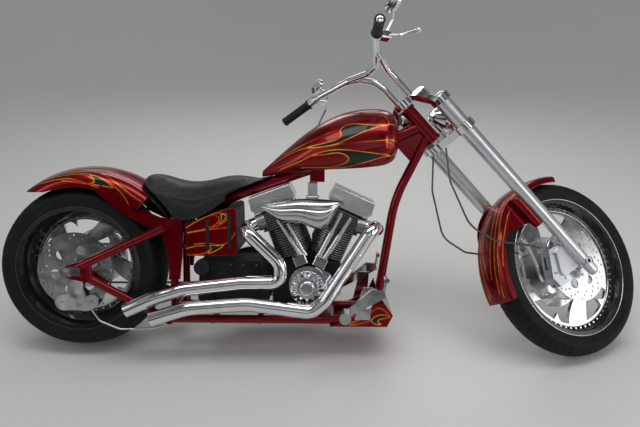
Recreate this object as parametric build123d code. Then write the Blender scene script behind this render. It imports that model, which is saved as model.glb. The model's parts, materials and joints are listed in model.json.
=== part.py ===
from build123d import *
from math import acos, asin, atan2, cos, hypot, pi, radians, sin, sqrt
import os

# Cruiser motorcycle
# Built upright with the front wheel straight: origin on the rear axle, x forward, y left, z up.
# The last section steers, leans and sets it on the floor as it parks.

# Stance
LEAN = 15.0
RAKE = 43.0
STEER_STOP = 35.0
WHEELBASE_X = 1920.0
FORK_OFFSET = 50.0

# Tyres and rims
REAR_R = 322.0
REAR_HALF = 120.0
REAR_CROWN = 230.0
REAR_LIP_R = 242.0
REAR_LIP_Y = 112.0
FRONT_R = 351.0
FRONT_HALF = 60.0
FRONT_CROWN = 75.0
FRONT_LIP_R = 277.0
FRONT_LIP_Y = 46.0
RIM_WALL = 5.0
SEAT_FIT = 0.3

# Axles and brakes
REAR_FENDER_R = REAR_R + 67.0
FRONT_FENDER_R = FRONT_R + 24.0
FENDER_WALL = 4.0
ARCH_X = REAR_R + 30.0
AXLE_R = 12.5
AXLE_FIT = 1.0
FRONT_AXLE_BORE_R = 8.0
ROTOR_R = 146.0
ROTOR_T = 5.0
REAR_ROTOR_Y = 136.0
FRONT_ROTOR_Y = 70.0
BELT_Y = 143.0
REAR_PULLEY_R = 112.0

# Frame
ARM_Y = 178.0
ARM_R = 16.0
RAIL_Y = 112.0
RAIL_Z = -195.0
RAIL_R = 16.0
CROSS_R = 13.0
POST_R = 15.0
SEATED = 0.3
PLATE_TOP = -189.0 - SEATED
BACKBONE_R = 22.0
DOWNTUBE_R = 17.5
NECK_R = 27.0
NECK_LOW = 738.0
NECK_HIGH = 904.0
NECK_BORE_R = 19.0
BEARING_DEPTH = 14.0

# Oil tank behind the engine
OIL_TANK_X = 424.0

# Engine
CRANK_X = 890.0
CRANK_Z = -85.0
BANKS = (-20.5, 24.5)
FINS_FROM = 150.0
FIN_PITCH = 9.0
FIN_T = 3.6
BARREL_FINS = 13
HEAD_FINS = 8
HEAD_FROM = 270.0
HEAD_LONG = 168.0
HEAD_WIDE = 148.0
ROCKER_LOW = 348.0
ROCKER_STEP = 364.0
ROCKER_TOP = 416.0
ROCKER_OUT = 10.0
V_MID_X = CRANK_X + 12.0
INTAKE_Z = 222.0
PIPE_R = 27.0
PIPE_WALL = 2.5

# Fork
LEG_Y = 115.0
LEG_FORWARD = 6.0
LEG_R = 31.0
LEG_END_R = 22.0
TAPER_FROM = 690.0
LEG_TOP = 872.0
LEG_TIP = -62.0
YOKE_LOW = NECK_HIGH + 6.0
YOKE_HIGH = YOKE_LOW + 26.0
BAR_R = 12.7
RISER_R = 12.2
RISER_Y = 46.0
STAND_PIN_R = 6.0
GRIP_R = 17.0


# Geometry of the stance
rake = radians(RAKE)
lean = radians(LEAN)
steer = radians(STEER_STOP)
REAR_HEIGHT = (REAR_R - REAR_CROWN) * cos(lean) + REAR_CROWN
front_tilt = asin(cos(steer) * sin(lean) + sin(rake) * sin(steer) * cos(lean))
FRONT_HEIGHT = (FRONT_R - FRONT_CROWN) * cos(front_tilt) + FRONT_CROWN
steered_y = FORK_OFFSET * sin(steer)
steered_z = FORK_OFFSET * cos(steer) * sin(rake)
AXIS_X = WHEELBASE_X - FORK_OFFSET * cos(rake)
AXIS_Z = (FRONT_HEIGHT - REAR_HEIGHT + steered_y * sin(lean)) / cos(lean) - steered_z
FRONT_X = AXIS_X + FORK_OFFSET * cos(rake)
FRONT_Z = AXIS_Z + FORK_OFFSET * sin(rake)
STEER_AXIS = Axis((AXIS_X, 0, AXIS_Z), (-sin(rake), 0, cos(rake)))


def on_fork(s, m, y):
    """Point s mm up the steering axis, m mm ahead of it, y mm to the left."""
    x = AXIS_X - s * sin(rake) + m * cos(rake)
    z = AXIS_Z + s * cos(rake) + m * sin(rake)
    return (x, y, z)


def xz(s, m):
    """The same point as (x, z) for a side outline."""
    return (on_fork(s, m, 0)[0], on_fork(s, m, 0)[2])


# Plane across the steering axis at s, local x to the front, local y to the left
def across(s):
    return Plane(origin=on_fork(s, 0, 0), x_dir=(cos(rake), 0, sin(rake)), z_dir=(-sin(rake), 0, cos(rake)))


def outline(plane, start, *steps):
    """Closed face on a plane. A step is a point, or a pair of points for an arc through the first."""
    edges = []
    here = start
    for step in list(steps) + [start]:
        if isinstance(step[0], tuple):
            edges.append(ThreePointArc(here, step[0], step[1]))
            here = step[1]
        elif hypot(step[0] - here[0], step[1] - here[1]) > 1e-6:
            edges.append(Line(here, step))
            here = step
    return plane * make_face(edges)


def slab(y_right, y_left, start, *steps):
    """Side outline (x, z) given a width from y_right to y_left."""
    face = outline(Plane.XZ.offset(-y_left), start, *steps)
    return extrude(face, y_left - y_right)


def turned(start, *steps):
    """Section (y, radius) turned about the y axis."""
    return revolve(outline(Plane.YZ, start, *steps), Axis.Y, 360)


def rod(p, q, r, r_end=None):
    """Round bar from p to q, tapering to r_end."""
    d = Vector(*q) - Vector(*p)
    plane = Plane(origin=p, z_dir=d)
    if r_end is None:
        return extrude(plane * Circle(r), d.length)
    return loft([plane * Circle(r), plane.offset(d.length) * Circle(r_end)])


def tube(points, radii, r, wall=0.0):
    """Bent round tube along points with the given bend radii."""
    path = FilletPolyline(*points, radius=radii) if len(points) > 2 else Line(*points)
    start = Plane(origin=path @ 0, z_dir=path % 0)
    body = sweep(start * Circle(r), path=path)
    if wall > 0:
        body = body - sweep(start * Circle(r - wall), path=path)
    return body


def disc_y(x, z, r, y_right, y_left):
    """Round disc across the bike."""
    return Pos(x, y_left, z) * (Rot(90, 0, 0) * extrude(Circle(r), y_left - y_right))


def loop(xa, za, ra, xb, zb, rb):
    """Outline of a belt round two circles, as steps for a slab."""
    d = hypot(xb - xa, zb - za)
    along = atan2(zb - za, xb - xa)
    open_a = acos((ra - rb) / d)

    def on(x, z, r, t):
        return (x + r * cos(t), z + r * sin(t))

    a_up = on(xa, za, ra, along + open_a)
    a_low = on(xa, za, ra, along - open_a)
    b_up = on(xb, zb, rb, along + open_a)
    b_low = on(xb, zb, rb, along - open_a)
    far_a = on(xa, za, ra, along + pi)
    far_b = on(xb, zb, rb, along)
    return (a_up, b_up, (far_b, b_low), a_low, (far_a, a_up))


def both(shape):
    return shape + mirror(shape, about=Plane.XZ)


def block(x, y, z, dx, dy, dz, fillet_r=0.0):
    body = Box(dx, dy, dz)
    if fillet_r > 0:
        body = fillet(body.edges(), fillet_r)
    return Pos(x, y, z) * body


# Wheels
def tyre(radius, crown, half, lip_r, lip_y, sy):
    """Tyre section: crown arc, shoulders, sidewalls, beads on the rim."""
    sr = radius - crown + sqrt(crown**2 - sy**2)
    seat = lip_r - 12 + SEAT_FIT
    return turned(
        (-sy, sr),
        ((0, radius), (sy, sr)),
        ((half - 1.5, (sr + lip_r) / 2 + 12), (half - 6, lip_r + 22)),
        (lip_y + 1, lip_r + SEAT_FIT),
        (lip_y - 9 - SEAT_FIT, lip_r + SEAT_FIT),
        (lip_y - 9 - SEAT_FIT, seat),
        (-lip_y + 9 + SEAT_FIT, seat),
        (-lip_y + 9 + SEAT_FIT, lip_r + SEAT_FIT),
        (-lip_y - 1, lip_r + SEAT_FIT),
        (-half + 6, lip_r + 22),
        ((-half + 1.5, (sr + lip_r) / 2 + 12), (-sy, sr)),
    )


def barrel(lip_r, lip_y, drop_r, drop_y):
    """Rim barrel with a stepped inside and turned lips."""
    seat = lip_r - 12
    return turned(
        (-lip_y, lip_r),
        (-lip_y + 8, lip_r - 1),
        (-lip_y + 9, seat),
        (-drop_y - 14, seat - 2),
        (-drop_y, drop_r),
        (drop_y, drop_r),
        (drop_y + 14, seat - 2),
        (lip_y - 9, seat),
        (lip_y - 8, lip_r - 1),
        (lip_y, lip_r),
        (lip_y - 2, seat - RIM_WALL),
        (drop_y + 12, seat - RIM_WALL - 2),
        (drop_y - 2, drop_r - RIM_WALL),
        (-drop_y + 2, drop_r - RIM_WALL),
        (-drop_y - 12, seat - RIM_WALL - 2),
        (-lip_y + 2, seat - RIM_WALL),
    )


def spoke_window(count, r_out, r_in, span, sweep_deg):
    """Swept windows with a hooked barb in each long outer arc."""
    cutter = None
    for i in range(count):

        def at(r, degrees):
            t = radians(360.0 / count * i + degrees)
            return (r * cos(t), r * sin(t))

        deep = r_out - r_in
        face = outline(
            Plane.XZ,
            at(r_out, 0),
            (at(r_out, 0.3 * span), at(r_out, 0.6 * span)),
            at(r_out - 0.30 * deep, 0.66 * span),
            (at(r_out - 0.10 * deep, 0.72 * span), at(r_out, 0.80 * span)),
            (at(r_out, 0.9 * span), at(r_out, span)),
            (at(r_out - 0.45 * deep, span + 0.15 * sweep_deg), at(r_in, span + sweep_deg)),
            (at(r_in, 0.5 * span + sweep_deg), at(r_in, 0.34 * span + sweep_deg)),
            (at(r_out - 0.62 * deep, 0.14 * span + 0.30 * sweep_deg), at(r_out, 0)),
        )
        piece = extrude(face, 100, both=True)
        cutter = piece if cutter is None else cutter + piece
    return cutter


def wheel_centre(r_rim, plate_half, hub_r, hub_half, windows):
    plate = turned(
        (-plate_half, 0),
        (-plate_half, r_rim - 14),
        (-plate_half - 4, r_rim),
        (plate_half + 4, r_rim),
        (plate_half, r_rim - 14),
        (plate_half, 0),
    )
    hub = disc_y(0, 0, hub_r, -hub_half, hub_half)
    return plate - windows + hub - disc_y(0, 0, AXLE_R + AXLE_FIT, -hub_half - 5, hub_half + 5)


def rotor(y, r_in):
    """Brake rotor with three rings of drilled holes and cut-outs in its carrier."""
    body = disc_y(0, 0, ROTOR_R, y - ROTOR_T / 2, y + ROTOR_T / 2)
    body -= disc_y(0, 0, r_in, y - 10, y + 10)
    holes = None
    for ring_r, start in ((136.0, 0.0), (124.0, 7.5), (112.0, 15.0)):
        for i in range(16):
            t = radians(start + 22.5 * i)
            hole = disc_y(ring_r * cos(t), ring_r * sin(t), 4.0, y - 10, y + 10)
            holes = hole if holes is None else holes + hole
    for i in range(6):
        t = radians(60 * i + 12)
        hole = disc_y(80 * cos(t), 80 * sin(t), 19.0, y - 10, y + 10)
        holes = holes + hole
    return body - holes


rear_tyre = tyre(REAR_R, REAR_CROWN, REAR_HALF, REAR_LIP_R, REAR_LIP_Y, 96.0)
rear_rim = barrel(REAR_LIP_R, REAR_LIP_Y, 205.0, 40.0)
rear_windows = spoke_window(5, 178.0, 96.0, 48.0, 20.0)
rear_wheel_centre = wheel_centre(199.0, 9.0, 30.0, 156.0, rear_windows)
rear_wheel_centre += disc_y(0, 0, 48, -REAR_ROTOR_Y + 3, -REAR_ROTOR_Y + 12)
rear_wheel_centre -= disc_y(0, 0, AXLE_R + AXLE_FIT, -200, 200)
rear_rotor = rotor(-REAR_ROTOR_Y, 30.5)
rear_pulley = turned(
    (BELT_Y - 12, 30.5),
    (BELT_Y - 12, REAR_PULLEY_R + 3),
    (BELT_Y - 11, REAR_PULLEY_R + 3),
    (BELT_Y - 11, REAR_PULLEY_R),
    (BELT_Y + 11, REAR_PULLEY_R),
    (BELT_Y + 11, REAR_PULLEY_R + 3),
    (BELT_Y + 12, REAR_PULLEY_R + 3),
    (BELT_Y + 12, 30.5),
)
for i in range(5):
    t = radians(72 * i)
    rear_pulley -= disc_y(70 * cos(t), 70 * sin(t), 24, BELT_Y - 20, BELT_Y + 20)

front_tyre = tyre(FRONT_R, FRONT_CROWN, FRONT_HALF, FRONT_LIP_R, FRONT_LIP_Y, 52.0)
front_rim = barrel(FRONT_LIP_R, FRONT_LIP_Y, 255.0, 14.0)
front_windows = spoke_window(5, 226.0, 128.0, 48.0, 18.0)
front_wheel_centre = wheel_centre(249.0, 8.0, 27.0, 82.0, front_windows)
front_rotors = rotor(-FRONT_ROTOR_Y, 27.5) + rotor(FRONT_ROTOR_Y, 27.5)
AT_FRONT = Pos(FRONT_X, 0, FRONT_Z)
front_tyre = AT_FRONT * front_tyre
front_rim = AT_FRONT * front_rim
front_wheel_centre = AT_FRONT * front_wheel_centre
front_rotors = AT_FRONT * front_rotors

# Frame
neck = rod(on_fork(NECK_LOW, 0, 0), on_fork(NECK_HIGH, 0, 0), NECK_R)
for s0, s1 in ((NECK_LOW, NECK_LOW + 12), (NECK_HIGH - 12, NECK_HIGH)):
    neck += rod(on_fork(s0, 0, 0), on_fork(s1, 0, 0), NECK_R + 4)
backbone_path = [on_fork(817, -11, 0), (1150, 0, 470), (720, 0, 322), (ARCH_X + 48, 0, 200)]
backbone = tube(backbone_path, [150, 200], BACKBONE_R)
downtube = tube([on_fork(768, -11, 0), (1228, 0, 262), (1160, 0, -188)], [500], DOWNTUBE_R)
rails = both(rod((1160, RAIL_Y, RAIL_Z), (ARCH_X, RAIL_Y, RAIL_Z), RAIL_R))
crosses = rod((ARCH_X + 48, -84, 202), (ARCH_X + 48, 84, 202), CROSS_R)
for x in (1160, 980, 700, 520):
    crosses += rod((x, -RAIL_Y, RAIL_Z - 6), (x, RAIL_Y, RAIL_Z - 6), CROSS_R)
post_x = ARCH_X + 22
posts = both(tube([(post_x + 26, 84, 214), (post_x, 108, 60), (post_x, RAIL_Y - 1, RAIL_Z)], [180], POST_R))
mounts = slab(-64, 64, (850, PLATE_TOP - 6), (990, PLATE_TOP - 6), (990, PLATE_TOP), (850, PLATE_TOP))
mounts += slab(-64, 64, (504, -172), (724, -172), (724, -160 - SEATED), (504, -160 - SEATED))
for x in (520, 700):
    mounts += slab(-40, 40, (x - 8, -198), (x + 8, -198), (x + 8, -168), (x - 8, -168))
mounts += slab(-16, 16, (894, 392), (894, 333), (952, 333), (952, 412))
for x, y, z in ((post_x + 14, 94, 150), (post_x + 3, 105, 88)):
    mounts += both(rod((x, y, z), (OIL_TANK_X - SEATED, y, z), 9))
NECK_ROOT = on_fork(828, 9, 0)
NECK_FOOT = on_fork(745, -4, 0)
gusset = slab(-6, 6, (NECK_ROOT[0], NECK_ROOT[2]), (NECK_FOOT[0], NECK_FOOT[2]), (1300, 400), (1215, 490))
side_panel = slab(
    124, 131, (200, 208), (261, 234), (329, 205), (412, 195), (412, 60), (400, -34), (356, -37),
    ((355, 56), (328, 149)), (282, 167),
)
frame_tubes = neck + backbone + downtube + rails + crosses + posts + gusset + mounts
frame_tubes += both(side_panel)
frame_tubes += both(rod((ARCH_X, RAIL_Y - 4, RAIL_Z), (ARCH_X, RAIL_Y + 14, RAIL_Z), RAIL_R + 4))

# Swingarm, a triangle each side of the wheel
SWING_FRONT_UP = (ARCH_X, 172)
SWING_FRONT_LOW = (ARCH_X, -194)
PIPE_SIDE_Y = 132.0
swingarm = None
for side, low_y in ((-1, PIPE_SIDE_Y), (1, ARM_Y)):
    arm = rod((0, side * ARM_Y, 10), (SWING_FRONT_UP[0], side * ARM_Y, SWING_FRONT_UP[1]), ARM_R)
    arm += rod((10, side * ARM_Y, 6), (SWING_FRONT_LOW[0], side * low_y, SWING_FRONT_LOW[1]), ARM_R)
    arm += rod((64, side * ARM_Y, 38), (68, side * ARM_Y, -24), 12)
    inner = ARM_Y - 11
    outer = ARM_Y + 11
    lo, hi = (-outer, -inner) if side < 0 else (inner, outer)
    arm += slab(lo, hi, (-44, 8), (-8, 30), (64, 50), (64, -36), (-4, -24))
    arm -= disc_y(0, 0, AXLE_R, -220, 220)
    swingarm = arm if swingarm is None else swingarm + arm
up_x, up_z = SWING_FRONT_UP
low_x, low_z = SWING_FRONT_LOW
swingarm += rod((up_x, -ARM_Y, up_z), (up_x, ARM_Y, up_z), 18)
swingarm += rod((low_x, -PIPE_SIDE_Y, low_z), (low_x, ARM_Y, low_z), 18)

# Rear fender, turned about a point ahead of the axle and trimmed along its lower edge
FENDER_X = 40.0
FENDER_HALF = 136.0
edge_r = REAR_FENDER_R - 139
side_r = REAR_FENDER_R - 53
turn_r = REAR_FENDER_R - 23
inside = FENDER_HALF - FENDER_WALL
fender_section = outline(
    Plane.YZ,
    (-FENDER_HALF, edge_r),
    (-FENDER_HALF, side_r),
    ((-122, turn_r), (-92, REAR_FENDER_R - 12)),
    ((0, REAR_FENDER_R), (92, REAR_FENDER_R - 12)),
    ((122, turn_r), (FENDER_HALF, side_r)),
    (FENDER_HALF, edge_r),
    (inside, edge_r),
    (inside, side_r - 1),
    ((119, turn_r - 3.5), (91, REAR_FENDER_R - 12 - FENDER_WALL)),
    ((0, REAR_FENDER_R - FENDER_WALL), (-91, REAR_FENDER_R - 12 - FENDER_WALL)),
    ((-119, turn_r - 3.5), (-inside, side_r - 1)),
    (-inside, edge_r),
)
rear_fender = revolve(Rot(0, -41, 0) * fender_section, Axis.Y, 82)
rear_fender = Pos(FENDER_X, 0, 0) * rear_fender
rear_fender -= slab(
    -200, 200, (-300, 299), (-111, 299), (-51, 313), (8, 320), (66, 314), (123, 297),
    (173, 271), (210, 246), (300, 214), (300, 100), (-300, 100),
)
strut = slab(-142, -FENDER_HALF - SEATED, (90, 302), (168, 240), (224, 198), (352, 166), (352, 182), (232, 232),
             (188, 284), (110, 326))
fender_struts = both(strut)
swingarm += fender_struts
swingarm -= frame_tubes

# Seat
SEAT_STATIONS = (
    # x, half width, underside, shoulder, crown
    (244, 92, 296, 312, 336),
    (285, 118, 236, 310, 362),
    (355, 131, 202, 292, 345),
    (430, 133, 192, 276, 329),
    (520, 121, 228, 290, 339),
    (620, 90, 288, 326, 357),
    (752, 50, 354, 364, 376),
)
seat_faces = []
for x, half, low, shoulder, crown in SEAT_STATIONS:
    seat_faces.append(
        outline(Plane.YZ.offset(x), (-half, low), (-half, shoulder), ((0, crown), (half, shoulder)), (half, low))
    )
seat = loft(seat_faces)
seat -= Pos(FENDER_X, 0, 0) * disc_y(0, 0, REAR_FENDER_R + 3, -137, 137)
seat -= slab(-102, 102, (250, 150), (250, 300), (340, 262), (440, 240), (500, 252), (640, 318), (780, 366),
             (780, 150))

# Fuel tank
TANK_STATIONS = (
    # x, floor half width, half width, floor, widest, crown
    (708, 14, 20, 352, 362, 374),
    (780, 38, 56, 364, 398, 439),
    (860, 62, 92, 376, 430, 507),
    (960, 86, 124, 386, 455, 573),
    (1060, 100, 140, 392, 468, 609),
    (1150, 98, 138, 400, 480, 617),
    (1210, 80, 116, 420, 495, 600),
    (1240, 54, 82, 448, 508, 572),
)
tank_faces = []
for x, base, half, low, wide, crown in TANK_STATIONS:
    up = crown - wide
    tank_faces.append(
        outline(
            Plane.YZ.offset(x),
            (-base, low),
            ((-half + 0.22 * (half - base), low + 0.42 * (wide - low)), (-half, wide)),
            ((-0.72 * half, wide + 0.70 * up), (0, crown)),
            ((0.72 * half, wide + 0.70 * up), (half, wide)),
            ((half - 0.22 * (half - base), low + 0.42 * (wide - low)), (base, low)),
        )
    )
fuel_tank = loft(tank_faces)
seat -= fuel_tank
seat -= frame_tubes
fuel_tank -= slab(-30, 30, (690, 250), (690, 340), (760, 364), (1150, 500), (1260, 552), (1260, 250))

# Oil tank
oil_tank = slab(-122, 122, (OIL_TANK_X, 184), (468, 195), (545, 229), (606, 244), (618, 236), (622, 70), (608, 56),
                (OIL_TANK_X, 56))
oil_tank -= slab(-92, 92, (380, 30), (380, 270), (575, 270), (575, 30))
for x in (506, 590):
    oil_tank += both(rod((x, 121, 82), (x, 121, 196 + (x - 506) * 0.3), 7))
oil_tank -= slab(-91, 91, (380, 30), (380, 270), (575, 270), (575, 30))

# Engine
AT_CRANK = Pos(CRANK_X, 0, CRANK_Z)
crankcase = disc_y(CRANK_X, CRANK_Z, 104, -76, 76)
crankcase += slab(-70, 70, (CRANK_X - 140, CRANK_Z - 60), (CRANK_X - 140, CRANK_Z + 40), (CRANK_X, CRANK_Z + 60),
                  (CRANK_X, CRANK_Z - 100), (CRANK_X - 100, CRANK_Z - 100))
cylinders = None
rocker_boxes = None
for bank in BANKS:
    out = 1 if bank > 0 else -1
    place = AT_CRANK * Rot(0, bank, 0)
    half_space = Pos(V_MID_X + out * 200.5, 0, 200) * Box(400, 400, 800)
    deck = place * (Pos(0, 0, 70) * Box(150, 120, 146))
    crankcase += deck & (Pos(V_MID_X + out * 200, 0, 0) * Box(400, 400, 800))
    body = Pos(0, 0, 143.5) * extrude(Circle(60), HEAD_FROM - 143.5)
    core = extrude(RectangleRounded(HEAD_LONG - 26, HEAD_WIDE - 26, 20), ROCKER_LOW - HEAD_FROM + 2)
    body += Pos(0, 0, HEAD_FROM - 2) * core
    for i in range(BARREL_FINS):
        body += Pos(0, 0, FINS_FROM + FIN_PITCH * i) * extrude(Circle(76), FIN_T)
    for i in range(HEAD_FINS):
        fin = extrude(RectangleRounded(HEAD_LONG, HEAD_WIDE, 22), FIN_T)
        body += Pos(0, 0, HEAD_FROM + FIN_PITCH * i) * fin
    body = (place * body) & half_space
    cylinders = body if cylinders is None else cylinders + body
    mid = out * ROCKER_OUT
    box = outline(
        Plane.XZ, (mid - 82, ROCKER_LOW), (mid - 82, ROCKER_STEP - 4), (mid - 90, ROCKER_STEP), (mid - 84, ROCKER_TOP),
        (mid + 84, ROCKER_TOP), (mid + 90, ROCKER_STEP), (mid + 82, ROCKER_STEP - 4), (mid + 82, ROCKER_LOW),
    )
    box = extrude(box, 74, both=True)
    top_edges = box.edges().group_by(Axis.Z)[-1]
    box = place * fillet(top_edges, 5)
    rocker_boxes = box if rocker_boxes is None else rocker_boxes + box
PUSHRODS = (
    # top x, top z, foot x, foot z
    (772, 195, 857, 66), (812, 180, 875, 66), (1019, 222, 931, 54), (1054, 204, 952, 44),
)
pushrods = None
for top_x, top_z, foot_x, foot_z in PUSHRODS:
    top = Vector(top_x, -98, top_z)
    foot = Vector(foot_x, -110, foot_z)
    down = (foot - top).normalized()
    push = rod(tuple(top), tuple(foot), 8) + rod(tuple(top + down * 82), tuple(foot), 11)
    push += rod(tuple(foot - down * 6), tuple(foot + down * 10), 14)
    pushrods = push if pushrods is None else pushrods + push
for x, z, tilt in ((860, 42, -22), (938, 34, 26)):
    pushrods += Pos(x, -97, z) * Rot(0, tilt, 0) * fillet(Box(52, 73.4, 38).edges().filter_by(Axis.Z), 6)
cam_cover = disc_y(890, -50, 71, -138, -76.5) + disc_y(888, -64, 38, -146, -138)
cam_cover += slab(-128, -76.5, (819, -50), (852, -116), (890, -122), (952, -72), (984, -40), (976, -8), (925, 16), (860, 14))
dome = extrude(Circle(31), 14)
cam_cover += Pos(888, -145, -64) * (Rot(90, 0, 0) * fillet(dome.edges().group_by(Axis.Z)[-1], 11))
pushrods -= cam_cover
AIR_STATIONS = (
    # x, low edge, high edge, depth
    (692, 234, 240, 4), (754, 214, 261, 26), (826, 192, 274, 42), (883, 181, 279, 50), (936, 166, 278, 52),
    (985, 211, 274, 40), (1028, 254, 264, 12),
)
BACKING_Y = -134.0
air_faces = []
for x, low, high, depth in AIR_STATIONS:
    tall = high - low

    def on(d, h):
        return (BACKING_Y - depth * d, low + tall * h)

    air_faces.append(
        outline(
            Plane.YZ.offset(x), (BACKING_Y, low), (on(0.66, 0.10), on(0.86, 0.34)), (on(1.06, 0.50), on(0.92, 0.66)),
            (on(0.76, 0.90), (BACKING_Y, high)),
        )
    )
air_cleaner = loft(air_faces)
carburettor = rod((V_MID_X, -60, INTAKE_Z), (V_MID_X, BACKING_Y + SEATED, INTAKE_Z), 26)
carburettor += rod((V_MID_X, -86, INTAKE_Z), (V_MID_X, 18, INTAKE_Z), 18)
carburettor += rod((CRANK_X - 17.7, 0, INTAKE_Z), (CRANK_X + 39.7, 0, INTAKE_Z), 17)
carburettor += block(906, -40, 296, 36, 50, 73.4) + block(906, -40, 272, 50, 60, 20, 4)
primary_cover = slab(156, 208, *loop(CRANK_X, CRANK_Z, 96, 640, -62, 104))
primary_cover += disc_y(CRANK_X, CRANK_Z, 86, 76.5, 156) + disc_y(640, -62, 34, 154, 156)
gearbox = slab(-92, 76, (470, 30), (700, 30), (740, -40), (740, -120), (700, -160), (500, -160), (460, -120))
gearbox += rod((482, -92, 10), (482, -128, 10), 30)
gearbox += disc_y(560, -62, 52, -112, -92) + disc_y(640, -62, 22, 76, BELT_Y - 11 - SEATED)

# Exhaust
REAR_ROUTE = (
    (692, -58, 174), (650, -60, 158), (658, -158, 158), (786, -165, 36), (786, -165, -36),
    (640, -168, -38), (420, -180, -62), (310, -194, -94), (205, -200, -140),
)
FRONT_ROUTE = (
    (1112, -58, 162), (1160, -62, 152), (1136, -170, 178), (956, -182, -104), (906, -184, -146),
    (660, -188, -114), (440, -198, -130), (300, -204, -172),
)
exhaust_rear = tube(list(REAR_ROUTE), [30, 32, 60, 34, 300, 250, 250], PIPE_R, PIPE_WALL)
exhaust_front = tube(list(FRONT_ROUTE), [32, 34, 60, 60, 250, 250], PIPE_R, PIPE_WALL)
ports = None
for route in (REAR_ROUTE, FRONT_ROUTE):
    start = Vector(*route[0])
    inward = (start - Vector(*route[1])).normalized()
    port = rod(tuple(start + inward * SEATED), tuple(start + inward * 34), PIPE_R + 5)
    ports = port if ports is None else ports + port
intake = rod((CRANK_X - 30, 0, INTAKE_Z), (CRANK_X - 18, 0, INTAKE_Z), 24)
intake += rod((CRANK_X + 40, 0, INTAKE_Z), (CRANK_X + 53, 0, INTAKE_Z), 24)
cylinders += ports + intake

# Rear axle, caliper and belt
rear_axle = rod((0, -200, 0), (0, 200, 0), AXLE_R)
arrow = ((-40, 9), ((-12, 24), (14, 26)), (38, 24), ((44, 9), (38, -6)), (14, -7), ((-12, -6), (-40, 9)))
rear_axle += slab(-206, -194.3, *arrow) + slab(194.3, 206, *arrow)
rear_caliper = slab(-160, -112, (-76, -120), ((-60, -98), (-20, -94)), (52, -94), ((84, -100), (92, -120)),
                    ((70, -146), (20, -152)), (-30, -152), ((-64, -144), (-76, -120)))
rear_caliper -= disc_y(0, 0, ROTOR_R + 6, -REAR_ROTOR_Y - 8, -REAR_ROTOR_Y + 8)
rear_caliper += slab(-166.8, -160, (-16, -30), (30, -30), (46, -100), (-30, -100))
rear_caliper -= swingarm
rear_brake_line = tube([(60, -150, -150), (92, -152, -196), (170, -156, -226), (290, -150, -224), (330, -130, -218)],
                       [30, 60, 60], 3.5)
rear_brake_line -= rear_caliper
belt_out = slab(BELT_Y - 10, BELT_Y + 10, *loop(0, 0, REAR_PULLEY_R + 5, 640, -62, 50))
belt_in = slab(BELT_Y - 20, BELT_Y + 20, *loop(0, 0, REAR_PULLEY_R + 1, 640, -62, 46))
drive_belt = belt_out - belt_in + disc_y(640, -62, 45.5, BELT_Y - 11, BELT_Y + 10.5)

# Rider controls by the feet
control_right = slab(-146, -134.3, (1070, -185), (1130, -185), (1140, -60), (1100, -60))
control_right += rod((1112, -146, -110), (1112, -232, -96), 20)
control_right += slab(-250, -232, (1010, -140), ((1014, -152), (1030, -152)), (1180, -70), (1176, -44), (1130, -40))
control_right += rod((1030, -250, -132), (1030, -318, -132), 21)
control_right += rod((1176, -241, -48), (1182, -241, -4), 7) + rod((1182, -262, -4), (1182, -215, -4), 9)
control_left = mirror(control_right, about=Plane.XZ)

# Tail lamp on a stay by the left end of the axle
tail_lamp = block(-28, 208, 33, 88, 58, 12) + block(-80, 262, 24, 26, 96, 28, 9)
tail_lamp -= swingarm

# Chin below the downtube
chin_spoiler = slab(-134, 134, (1128, -150), (1158, -82), (1218, -172), (1196, -216), (975, -216))
chin_spoiler -= slab(-130, 130, (1100, -140), (1154, -80), (1213, -172), (1193, -212), (900, -212))
chin_spoiler -= rod((1188, 0, -20), (1160, 0, -188), DOWNTUBE_R + 0.5)
chin_spoiler -= frame_tubes

# Fork
legs = None
for side in (-1, 1):
    y = side * LEG_Y
    m = FORK_OFFSET + LEG_FORWARD
    leg = extrude(across(TAPER_FROM) * Pos(m, y) * Circle(LEG_R), LEG_TOP - TAPER_FROM)
    leg = fillet(leg.edges().group_by(STEER_AXIS)[-1], 20)
    leg += rod(on_fork(LEG_TIP + 12, m, y), on_fork(TAPER_FROM, m, y), LEG_END_R, LEG_R)
    leg += rod(on_fork(LEG_TIP, m, y), on_fork(LEG_TIP + 12, m, y), LEG_END_R - 8, LEG_END_R)
    legs = leg if legs is None else legs + leg
axle = rod((FRONT_X, -142, FRONT_Z), (FRONT_X, 142, FRONT_Z), AXLE_R)
fork_legs = legs + axle


def sockets(s0, s1, r):
    """Rings round both legs."""
    m = FORK_OFFSET + LEG_FORWARD
    body = None
    for side in (-LEG_Y, LEG_Y):
        ring = extrude(across(s0) * Pos(m, side) * Circle(r), s1 - s0)
        body = ring if body is None else body + ring
    return body


def leg_holes(s0, s1):
    return sockets(s0 - 5, s1 + 5, LEG_R)


CLAMP_LOW = 694.0
CLAMP_HIGH = 724.0
lower_yoke = sockets(CLAMP_LOW, CLAMP_HIGH, LEG_R + 11) + extrude(across(CLAMP_LOW) * Circle(36), CLAMP_HIGH - CLAMP_LOW)
bridge = across(CLAMP_LOW) * Polygon((-30, -34), (20, -LEG_Y), (90, -LEG_Y), (70, 0), (90, LEG_Y), (20, LEG_Y),
                                     (-30, 34), align=None)
lower_yoke += extrude(bridge, CLAMP_HIGH - CLAMP_LOW)
lower_yoke -= leg_holes(CLAMP_LOW, CLAMP_HIGH)

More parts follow.
